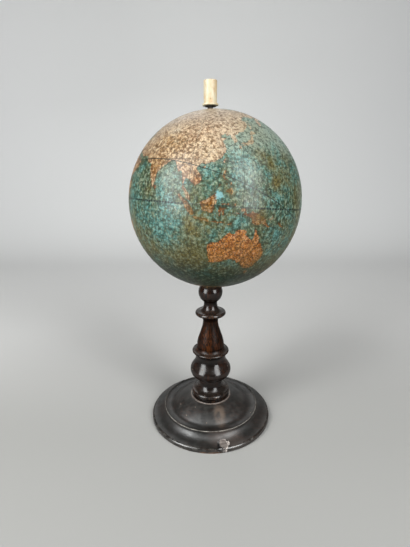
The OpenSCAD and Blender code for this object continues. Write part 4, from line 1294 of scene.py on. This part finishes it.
class Geography:
    """The printed map: every coast as short chords on the unit sphere, with its wash and its age."""

    zero_meridian = -17.67
    reach_mm = 6.0
    # Longest chord of a coast, how far a point between two given ones may stray, and how far chords are looked for
    chord_deg = 1.1
    stray_deg = 0.3
    search_deg = 6.8

    def __init__(self, radius_mm: float) -> None:
        """Cut every coast into short chords.

        Args:
            radius_mm: the ball's radius in millimetres.
        """
        self.radius = radius_mm
        rng = np.random.default_rng(1821)
        starts, ends, owner, self.rings = [], [], [], []
        for index, coast in enumerate(COASTS):
            ring = coast.points()
            line = ring if coast.cap else np.vstack([ring, ring[:1]])
            fine = [line[:1]]
            for a, b in zip(line[:-1], line[1:]):
                span = float(np.hypot((b[0] - a[0]) * math.cos(math.radians((a[1] + b[1]) / 2)), b[1] - a[1]))
                count = max(1, math.ceil(span / self.chord_deg))
                steps = np.linspace(0, 1, count + 1)[1:, None]
                piece = a + (b - a) * steps
                if count > 1:
                    piece[:-1] += rng.normal(0, min(self.stray_deg, 0.05 * span), (count - 1, 2))
                fine.append(piece)
            line = np.vstack(fine)
            points = self.sphere(line[:, 0], line[:, 1])
            starts.append(points[:-1])
            ends.append(points[1:])
            owner += [index] * (len(points) - 1)
            if coast.cap:
                line = np.vstack([line, [[180, -91], [-180, -91]]])
            self.rings.append(line)
        self.starts, self.ends, self.owner = np.vstack(starts), np.vstack(ends), np.array(owner)
        self.middles = (self.starts + self.ends) / 2
        self.inks = np.array([linear(c.wash.value)[:3] for c in COASTS])

    @staticmethod
    def sphere(lon: np.ndarray, lat: np.ndarray) -> np.ndarray:
        """Put places on the unit sphere.

        Args:
            lon: longitudes in degrees.
            lat: latitudes in degrees.

        Returns:
            One unit vector a place.
        """
        lon, lat = np.radians(lon), np.radians(lat)
        return np.stack([np.cos(lat) * np.cos(lon), np.cos(lat) * np.sin(lon), np.sin(lat)], -1)

    def inside(self, lon: np.ndarray, lat: np.ndarray) -> np.ndarray:
        """Tell which coast each place lies within.

        Args:
            lon: longitudes in degrees, from -180 to 180.
            lat: latitudes in degrees.

        Returns:
            The number of the coast, or -1 at sea.
        """
        found = np.full(len(lon), -1)
        for index, ring in enumerate(self.rings):
            for turn in (0.0, 360.0):
                x = lon + turn
                near = (x >= ring[:, 0].min()) & (x <= ring[:, 0].max()) & (lat >= ring[:, 1].min()) \
                    & (lat <= ring[:, 1].max())
                if not near.any():
                    continue
                px, py = x[near][:, None], lat[near][:, None]
                x0, y0 = ring[:, 0], ring[:, 1]
                x1, y1 = np.roll(x0, -1), np.roll(y0, -1)
                rise = np.where(y1 == y0, 1e-9, y1 - y0)
                crossed = ((y0 > py) != (y1 > py)) & (px < (x1 - x0) * (py - y0) / rise + x0)
                hit = np.flatnonzero(near)[crossed.sum(1) % 2 == 1]
                found[hit] = np.where(found[hit] >= 0, -1, index) if COASTS[index].name == "inland sea" else index
        return found

    def read(self, points: np.ndarray) -> dict[str, np.ndarray]:
        """Work out the print at places on the ball.

        Args:
            points: unit vectors in the map's own frame.

        Returns:
            The distance inland in millimetres, the wash and the age of each place.
        """
        lat = np.degrees(np.arcsin(np.clip(points[:, 2], -1, 1)))
        lon = np.degrees(np.arctan2(points[:, 1], points[:, 0])) + self.zero_meridian
        lon = (lon + 180) % 360 - 180
        true = self.sphere(lon, lat)
        coast = np.full(len(points), -self.reach_mm)
        wash = np.tile(np.array(linear(Land.ISLES.value)[:3]), (len(points), 1))
        band = np.floor(lat / 6).astype(int) * 100 + np.floor(lon / 30).astype(int)
        for key in np.unique(band):
            here = np.flatnonzero(band == key)
            middle = true[here].mean(0)
            middle /= np.linalg.norm(middle)
            wide = np.arccos(np.clip(true[here] @ middle, -1, 1)).max() + math.radians(self.search_deg)
            near = np.flatnonzero(self.middles @ middle > math.cos(wide))
            side = self.inside(lon[here], lat[here])
            gap = np.full(len(here), self.reach_mm)
            owner = side.copy()
            if len(near):
                a, b = self.starts[near], self.ends[near]
                run = b - a
                along = np.einsum("nmk,mk->nm", true[here][:, None, :] - a[None], run)
                share = np.clip(along / np.maximum((run * run).sum(1), 1e-12), 0, 1)
                foot = a[None] + share[..., None] * run[None]
                span = np.linalg.norm(true[here][:, None, :] - foot, axis=2) * self.radius
                best = span.argmin(1)
                gap = np.minimum(span[np.arange(len(here)), best], self.reach_mm)
                owner = np.where(side >= 0, side, self.owner[near][best])
            coast[here] = np.where(side >= 0, gap, -gap)
            known = owner >= 0
            wash[here[known]] = self.inks[owner[known]]
        for spot, colour in WASHES:
            share = self.cover(true, spot)[:, None]
            wash = wash * (1 - share) + np.array(linear(colour)[:3]) * share
        age = np.zeros((len(points), 4))
        age[:, 3] = 1
        for kind, spots in AGEING.items():
            for spot in spots:
                share = self.cover(true, spot)
                age[:, kind.value] = 1 - (1 - age[:, kind.value]) * (1 - share)
        return {"coast": coast, "wash": np.hstack([wash, np.ones((len(points), 1))]), "age": age}

    def cover(self, places: np.ndarray, spot: Spot) -> np.ndarray:
        """Tell how much of each place a spot covers.

        Args:
            places: unit vectors, zero longitude at Greenwich.
            spot: the soft patch.

        Returns:
            A share from 0 to the spot's strength.
        """
        centre = self.sphere(np.array([spot.lon]), np.array([spot.lat]))[0]
        east = np.array([-math.sin(math.radians(spot.lon)), math.cos(math.radians(spot.lon)), 0.0])
        north = np.cross(centre, east)
        x, y = places @ east / spot.wide, places @ north
        away = np.degrees(np.hypot(x, y)) + np.where(places @ centre < 0, 180, 0)
        return spot.strength * np.exp(-(away / spot.reach) ** 2)


@dataclass(frozen=True)
class MapPaper:
    """Letterpress map on rag paper, coloured by hand and varnished: dull gloss, yellowed, brushed and finely crazed."""

    name: str = "printed rag paper, hand coloured, varnished (map)"
    sea: str = "#4c7d74"
    sea_green: str = "#4a5f46"
    sea_blue: str = "#5a9692"
    grime: str = "#6e5c20"
    ink: str = "#161c18"
    rubbed: str = "#afbfb2"
    paper: str = "#e2d6b8"

    def make(self, centre: Vector, turn: Euler) -> bpy.types.Material:
        """Build the material.

        Args:
            centre: the ball's centre in metres.
            turn: how the map's frame stands in the world.

        Returns:
            The finished material.
        """
        m = Sheet(self.name)
        local = m.add("Mapping", {"vector_type": "TEXTURE", "Location": centre, "Rotation": turn,
                                  "Scale": (Ball.radius * MM,) * 3}, {"Vector": m.place}).outputs[0]
        x, y, z = m.axes(local)
        lat = m.math("DEGREES", m.math("ARCSINE", z))
        lon = m.math("DEGREES", m.math("ARCTAN2", y, x))
        shrink = m.math("SQRT", m.most(m.minus(1.0, m.times(z, z)), 0.0001))
        coast = m.painted("coast")
        wash = m.painted("wash", "Color")
        age = m.add("SeparateColor", None, {0: m.painted("age", "Color")}).outputs
        grime, rubbed, clean = age["Red"], age["Green"], age["Blue"]
        one = Ball.radius
        mm = m.add("Mapping", {"Scale": (one, one, one)}, {"Vector": local}).outputs[0]

        def sized(*size: float) -> Socket:
            """Scale the map's own place so that one unit has this size in millimetres."""
            return m.add("Mapping", {"Scale": tuple(1 / s for s in size)}, {"Vector": mm}).outputs[0]

        def patch(size: Triple, detail: float = 4.0, rough: float = 0.55) -> Socket:
            """Read a noise whose unit has this size in millimetres in the map's own frame."""
            return m.noise(sized(*size), detail, rough)

        broad = patch((13.0, 13.0, 17.0), 5.0, 0.6)
        mottle = patch((3.2, 3.2, 4.2), 4.0, 0.6)
        streak = patch((0.85, 0.85, 8.0), 4.0, 0.62)
        speck = patch((0.75, 0.75, 0.9), 3.0, 0.65)
        ragged = patch((1.5, 1.5, 1.5), 3.0, 0.6)
        inland = m.plus(coast, m.line(ragged, 1.5, -0.75))
        land = m.ramp(inland, -0.12, 0.12)

        # The sea: blue-green wash that the varnish has turned olive in patches, brushed from pole to pole
        sea = m.mix(m.ramp(broad, 0.38, 0.62), self.sea, self.sea_green)
        sea = m.mix(m.times(m.math("ADD", clean, m.ramp(mottle, 0.5, 0.68, 0.0, 0.4), clamp=True), 0.85), sea,
                    self.sea_blue)
        sea = m.mix(m.times(m.ramp(mottle, 0.44, 0.64), m.ramp(broad, 0.35, 0.6, 0.15, 0.6)), sea, "#4e5c33")
        # The land: a wash that is strongest along the coasts
        tint = m.mix(m.times(m.ramp(inland, 2.2, 0.2), 0.45), wash, "#a8602a", "MULTIPLY")
        tint = m.mix(1.0, tint, "#dad2c8", "MULTIPLY")
        tint = m.mix(m.ramp(lat, 44.0, 58.0, 0.0, 0.9), tint, "#8e7a70")
        tint = m.mix(m.ramp(mottle, 0.52, 0.7, 0.0, 0.35), tint, m.mix(0.4, wash, "#f8e2b2"))
        tint = m.mix(m.ramp(broad, 0.45, 0.66, 0.0, 0.3), tint, "#a88450")
        colour = m.mix(land, sea, tint)
        halo = m.times(m.ramp(inland, -3.4, -0.4), m.minus(1.0, land), m.minus(1.0, clean))
        colour = m.mix(m.times(halo, m.ramp(ragged, 0.36, 0.6, 0.25, 0.75)), colour, "#62602f")
        # Close print and worn varnish, which break every wash into fine dark and pale marks
        close = patch((3.0, 2.6, 2.8), 2.0, 0.65)
        fleck = patch((1.9, 1.7, 1.6), 1.0, 0.6)
        dark = m.most(m.ramp(close, 0.53, 0.57), m.ramp(fleck, 0.56, 0.6))
        print_ink = m.mix(m.ramp(mottle, 0.45, 0.55), "#2b331c", "#4c4a26")
        colour = m.mix(m.times(dark, 0.6), colour, m.mix(land, print_ink, m.mix(1.0, wash, "#7d6044", "MULTIPLY")))
        bare = m.most(m.ramp(close, 0.42, 0.38), m.ramp(fleck, 0.41, 0.37))
        colour = m.mix(m.times(bare, 0.5), colour,
                       m.mix(land, m.mix(m.ramp(broad, 0.42, 0.58), "#7fb2ac", "#a3ac93"),
                             m.mix(0.42, wash, "#ffe8bc")))

        # Engraved lines: coast, sea hatching, graticule each ten degrees, tropics, polar circles, gore edges,
        # the dashed equator, which is rubbed thin among the islands, and the ecliptic
        shore = m.ramp(m.size(inland), 0.34, 0.1)
        hatch = m.times(m.ramp(m.math("PINGPONG", m.times(lat, DEGREE_MM), 0.35), 0.12, 0.26),
                       m.times(m.ramp(inland, -2.0, -0.6), m.minus(1.0, land)))
        to_lat = m.times(m.math("PINGPONG", lat, 5.0), DEGREE_MM)
        to_lon = m.times(m.math("PINGPONG", lon, 5.0), DEGREE_MM, shrink)
        grid = m.most(m.ramp(to_lat, 0.24, 0.08), m.ramp(to_lon, 0.24, 0.08))
        tropic = m.size(m.minus(m.size(lat), TROPIC))
        circle = m.size(m.minus(m.size(lat), POLAR_CIRCLE))
        rings = m.times(m.ramp(m.times(m.math("MINIMUM", tropic, circle), DEGREE_MM), 0.3, 0.1), 0.9)
        seam = m.ramp(m.times(m.math("PINGPONG", lon, 15.0), DEGREE_MM, shrink), 0.42, 0.1)
        marks = m.math("GREATER_THAN", m.math("PINGPONG", lon, 1.0), 0.5)
        belt = m.size(m.times(lat, DEGREE_MM))
        scale = m.times(m.ramp(belt, 0.62, 0.48), m.line(marks, 0.82, 0.18))
        worn = m.ramp(m.size(m.minus(lon, 136.0)), 15.0, 24.0, 0.5, 1.0)
        scale = m.times(scale, worn)
        path = m.minus(m.times(z, math.cos(math.radians(OBLIQUITY))), m.times(y, math.sin(math.radians(OBLIQUITY))))
        away = m.times(m.size(path), one)
        ecliptic = m.times(m.ramp(away, 0.42, 0.3), m.line(marks, 0.4, 0.55))
        lines = m.most(m.times(grid, 0.5), rings)
        lines = m.most(lines, m.most(m.times(hatch, 0.4), m.times(shore, 0.7)))
        lines = m.most(lines, m.times(seam, 0.62))
        lines = m.times(lines, m.ramp(speck, 0.3, 0.5, 0.45, 1.0))
        lines = m.most(lines, m.times(m.most(scale, ecliptic), 0.9))
        # Fine hill strokes, rivers and soundings, which the eye takes in as small broken dark marks
        strokes = m.times(m.ramp(m.cells(sized(1.25, 1.25, 0.8)), 0.3, 0.14),
                         m.ramp(patch((6.0, 6.0, 4.0), 3.0), 0.4, 0.56))
        wander = m.add("TexNoise", {"Scale": 0.35, "Detail": 3.0}, {"Vector": mm}).outputs["Color"]
        winding = m.add("VectorMath", {"operation": "ADD"}, {0: mm, 1: wander}).outputs[0]
        valleys = m.add("Mapping", {"Scale": (1 / 6.0,) * 3}, {"Vector": winding}).outputs[0]
        rivers = m.ramp(m.cells(valleys, "DISTANCE_TO_EDGE"), 0.035, 0.012)
        marks_land = m.times(m.most(strokes, m.times(rivers, 0.8)), land)
        marks_sea = m.times(strokes, 0.6, m.minus(1.0, land))
        ink = m.most(lines, m.times(m.most(marks_land, marks_sea), 0.7))
        colour = m.mix(m.times(ink, 0.86), colour, self.ink)

        # Age: brown varnish in patches, turning near-black towards the south partly as painted shade on the ball's
        # underside, brush streaks, rubbed pale places partly painted as the windows' glare, crazing and chipped specks
        # of bare paper
        brown = m.times(m.ramp(m.plus(grime, m.line(broad, 0.9, -0.45)), 0.1, 1.0), 0.85)
        # Painted shade, partly grime: the brown varnish turns near-black green towards the south, where the ball's
        # underside lies in shade
        colour = m.mix(brown, colour, m.mix(m.ramp(lat, -24.0, -48.0), self.grime, "#1d260b"))
        colour = m.mix(m.ramp(streak, 0.52, 0.66, 0.0, 0.5), colour, "#20291a")
        # Rubbed pale places, partly painted glare: the patches at 88,13 and 136.5,18 stand where the windows' glare
        # falls
        pale = m.times(m.ramp(m.plus(rubbed, m.line(mottle, 0.8, -0.4)), 0.15, 0.95), 0.6)
        colour = m.mix(pale, colour, m.mix(land, self.rubbed, m.mix(0.5, wash, "#ecdcc4")))
        bright = m.times(m.ramp(streak, 0.42, 0.33), m.ramp(speck, 0.42, 0.58))
        colour = m.mix(m.times(bright, 0.42), colour, m.mix(land, "#9fc0b6", m.mix(0.55, wash, "#ffeecb")))
        crazing = m.cells(sized(2.6, 2.6, 3.4), "DISTANCE_TO_EDGE")
        cracks = m.times(m.ramp(crazing, 0.05, 0.015), m.ramp(mottle, 0.4, 0.6))
        colour = m.mix(m.times(cracks, 0.5), colour, "#22281c")
        chips = m.times(m.ramp(m.cells(sized(3.4, 3.4, 3.4)), 0.11, 0.06), m.ramp(speck, 0.45, 0.55))
        colour = m.mix(m.times(chips, 0.75), colour, self.paper)
        grit = patch((1.9, 1.8, 1.9), 2.0, 0.65)
        colour = m.mix(m.ramp(grit, 0.53, 0.58, 0.0, 0.6), colour, m.mix(land, "#19210e", "#54391f"))
        colour = m.mix(m.ramp(grit, 0.43, 0.38, 0.0, 0.27), colour,
                       m.mix(land, "#a9b497", m.mix(0.5, wash, "#fff0d2")))
        south = m.times(land, m.ramp(lat, -6.0, -11.0))
        colour = m.mix(m.times(south, m.ramp(speck, 0.47, 0.4, 0.0, 0.5)), colour, "#e6a04a")
        colour = m.mix(m.times(south, m.ramp(speck, 0.52, 0.6, 0.0, 0.55)), colour, "#41260a")
        colour = m.mix(m.ramp(speck, 0.55, 0.66, 0.0, 0.4), colour, "#1a2318")
        fresh = m.ramp(m.plus(clean, m.line(ragged, 0.8, -0.4)), 0.8, 0.92)
        colour = m.mix(m.times(fresh, m.ramp(grit, 0.56, 0.46, 0.25, 0.85)), colour, "#80b2b6")
        colour = m.mix(m.times(m.most(scale, m.times(ecliptic, 0.7)), 0.95), colour, "#14201f")
        colour = m.mix(1.0, colour, "#efefee", "MULTIPLY")

        height = m.minus(m.line(mottle, 0.5, m.times(streak, 0.35)), m.times(m.most(cracks, m.times(seam, 0.7)), 0.5))
        normal = m.bump(height, 0.09)
        rough = m.plus(m.ramp(mottle, 0.3, 0.7, 0.29, 0.42), m.times(pale, 0.12))
        return m.finish({"IOR": 1.48, "Specular IOR Level": 0.5},
                        {"Base Color": colour, "Roughness": rough, "Normal": normal})


@dataclass
class Ball:
    """Twelve gores and two polar caps of printed paper on the map's own tilted axis. Sizes in millimetres, degrees."""

    radius: float = 64.985
    centre: Triple = (3.3, 0.0, 191.67)
    paper: float = 0.285
    tilt: float = 5.3
    tilt_dir: float = 40.0
    spin: float = 133.5
    gap: float = 0.1
    cap_r: float = 14.0
    hole_r: float = 3.55
    gores: int = 12
    merge: float = 1e-4

    def frame(self) -> Matrix:
        """Tell how the map's frame stands on the stand.

        Returns:
            The matrix from map millimetres about the ball's centre to metres in the solids' frame.
        """
        turn = (Matrix.Rotation(math.radians(self.tilt_dir), 4, "Z") @ Matrix.Rotation(math.radians(self.tilt), 4, "Y")
                @ Matrix.Rotation(math.radians(self.spin - self.tilt_dir), 4, "Z"))
        return Matrix.Translation(Vector(self.centre) * MM) @ turn @ Matrix.Scale(MM, 4)

    def build(self) -> None:
        """Print, cut and lay the gores and caps, and finish the layers beneath them."""
        geography = Geography(self.radius)
        stand = self.frame()
        turn = stand.to_euler("XYZ")
        paper = MapPaper().make(stand.to_translation(), turn)
        edge = 90 - math.degrees(math.asin(self.cap_r / self.radius))
        fine = ((60, 310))
        width = 360 / self.gores
        for number in range(self.gores):
            bm = self.strip(number * width, width - math.degrees(self.gap / self.radius), -edge, edge, *fine)
            self.lay(f"map_gore_{number + 1:02d}", bm, geography, paper, stand, f"gore_{number + 1:02d}")
        for name, side in (("north", 1), ("south", -1)):
            bm = self.cap(side * edge, side * 90.0, 150, stand)
            self.lay(f"map_calotte_{name}", bm, geography, paper, stand, f"{name}_calotte")
        self.dress_inside()

    def strip(self, lon: float, width: float, low: float, high: float, across: int, along: int) -> bmesh.types.BMesh:
        """Sweep one point into a meridian and the meridian into a gore.

        Args:
            lon: the gore's western edge.
            width: its width.
            low: its southern end.
            high: its northern end.
            across: pieces from west to east.
            along: pieces from south to north.

        Returns:
            The gore's outer face in the map's frame.
        """
        bm = bmesh.new()
        a, b = math.radians(low), math.radians(lon)
        start = bm.verts.new((self.radius * math.cos(a) * math.cos(b), self.radius * math.cos(a) * math.sin(b),
                              self.radius * math.sin(a)))
        bmesh.ops.spin(bm, geom=[start], cent=(0, 0, 0), axis=(math.sin(b), -math.cos(b), 0),
                       angle=math.radians(high - low), steps=along)
        bmesh.ops.spin(bm, geom=list(bm.verts) + list(bm.edges), cent=(0, 0, 0), axis=(0, 0, 1),
                       angle=math.radians(width), steps=across)
        bmesh.ops.remove_doubles(bm, verts=bm.verts, dist=self.merge)
        return bm

    def cap(self, rim: float, pole: float, around: int, stand: Matrix) -> bmesh.types.BMesh:
        """Sweep a polar cap and pierce it for the mast.

        Args:
            rim: latitude of the cap's edge.
            pole: latitude of its pole.
            around: pieces of a full turn.
            stand: the map frame's matrix.

        Returns:
            The cap's outer face in the map's frame.
        """
        bm = bmesh.new()
        a = math.radians(rim)
        start = bm.verts.new((self.radius * math.cos(a), 0, self.radius * math.sin(a)))
        bmesh.ops.spin(bm, geom=[start], cent=(0, 0, 0), axis=(0, -1, 0), angle=math.radians(pole - rim), steps=26)
        bmesh.ops.spin(bm, geom=list(bm.verts) + list(bm.edges), cent=(0, 0, 0), axis=(0, 0, 1), angle=math.tau,
                       steps=around, use_merge=True)
        bmesh.ops.remove_doubles(bm, verts=bm.verts, dist=self.merge)
        inside = []
        for vert in bm.verts:
            place = stand @ vert.co
            if math.hypot(place.x, place.y) < self.hole_r * MM:
                inside.append(vert)
        bmesh.ops.delete(bm, geom=inside, context="VERTS")
        back = stand.inverted()
        for vert in [v for v in bm.verts if v.is_boundary]:
            place = stand @ vert.co
            r = math.hypot(place.x, place.y)
            if r < (self.hole_r + 2.0) * MM:
                share = self.hole_r * MM / r
                moved = back @ Vector((place.x * share, place.y * share, place.z))
                vert.co = moved.normalized() * self.radius
        return bm

    def lay(self, name: str, bm: bmesh.types.BMesh, geography: Geography, paper: bpy.types.Material, stand: Matrix,
            node: str) -> None:
        """Give a face its print and its thickness and lay it on the plaster.

        Args:
            name: the piece's name.
            bm: the outer face in the map's frame.
            geography: the print.
            paper: the finish.
            stand: the map frame's matrix.
            node: the solid that it stands for.
        """
        points = np.array([v.co for v in bm.verts]) / self.radius
        points /= np.linalg.norm(points, axis=1)[:, None]
        layers = {"coast": bm.verts.layers.float.new("coast"), "wash": bm.verts.layers.float_color.new("wash"),
                  "age": bm.verts.layers.float_color.new("age")}
        for key, values in geography.read(points).items():
            layer = layers[key]
            for vert, value in zip(bm.verts, values):
                vert[layer] = float(value) if key == "coast" else tuple(value)
        inner = bmesh.ops.extrude_face_region(bm, geom=list(bm.faces), use_keep_orig=True)["geom"]
        share = (self.radius - self.paper) / self.radius
        bmesh.ops.scale(bm, vec=(share,) * 3, verts=[g for g in inner if isinstance(g, bmesh.types.BMVert)])
        bmesh.ops.transform(bm, matrix=stand, verts=bm.verts)
        bmesh.ops.recalc_face_normals(bm, faces=bm.faces)
        hang(name, bm, paper, "globe", (node,), 40.0)

    def dress_inside(self) -> None:
        """Finish what lies under the paper."""
        pulp = Fibrous("moulded papier-mache (shell)", "#b3a384", "#8d7c5c", "#6f6148", (2.5, 2.5, 0.8), 1.8, 0.88,
                       0.2)
        plaster = Fibrous("scraped gypsum plaster", "#ded9cb", "#cfc7b3", "#b9ad93", (3.0, 3.0, 0.6), 1.2, 0.85, 0.05)
        strip = Fibrous("pasted linen rag paper (seam)", "#c9bfa5", "#b3a788", "#94876a", (0.4, 0.4, 0.4), 0.9, 0.9,
                        0.04)
        post = Fibrous("turned limewood, unfinished (mast)", "#b78f5c", "#8f6a3e", "#6c4c2b", (0.7, 0.7, 12.0), 1.6,
                       0.7)
        pulp_material = pulp.make()
        for node in ("north_hemisphere", "south_hemisphere"):
            dress(node, pulp_material)
        for node, finish in (("plaster_coat", plaster), ("seam_band", strip), ("mast", post)):
            dress(node, finish.make())


def main() -> None:
    """Build every sub-assembly in order."""
    logging.basicConfig(level=logging.INFO, format="%(name)s: %(message)s")
    Studio().build()
    Foot().build()
    Column().build()
    Fittings().build()
    Ball().build()
    bpy.context.view_layer.update()


if __name__ == "__main__":
    main()
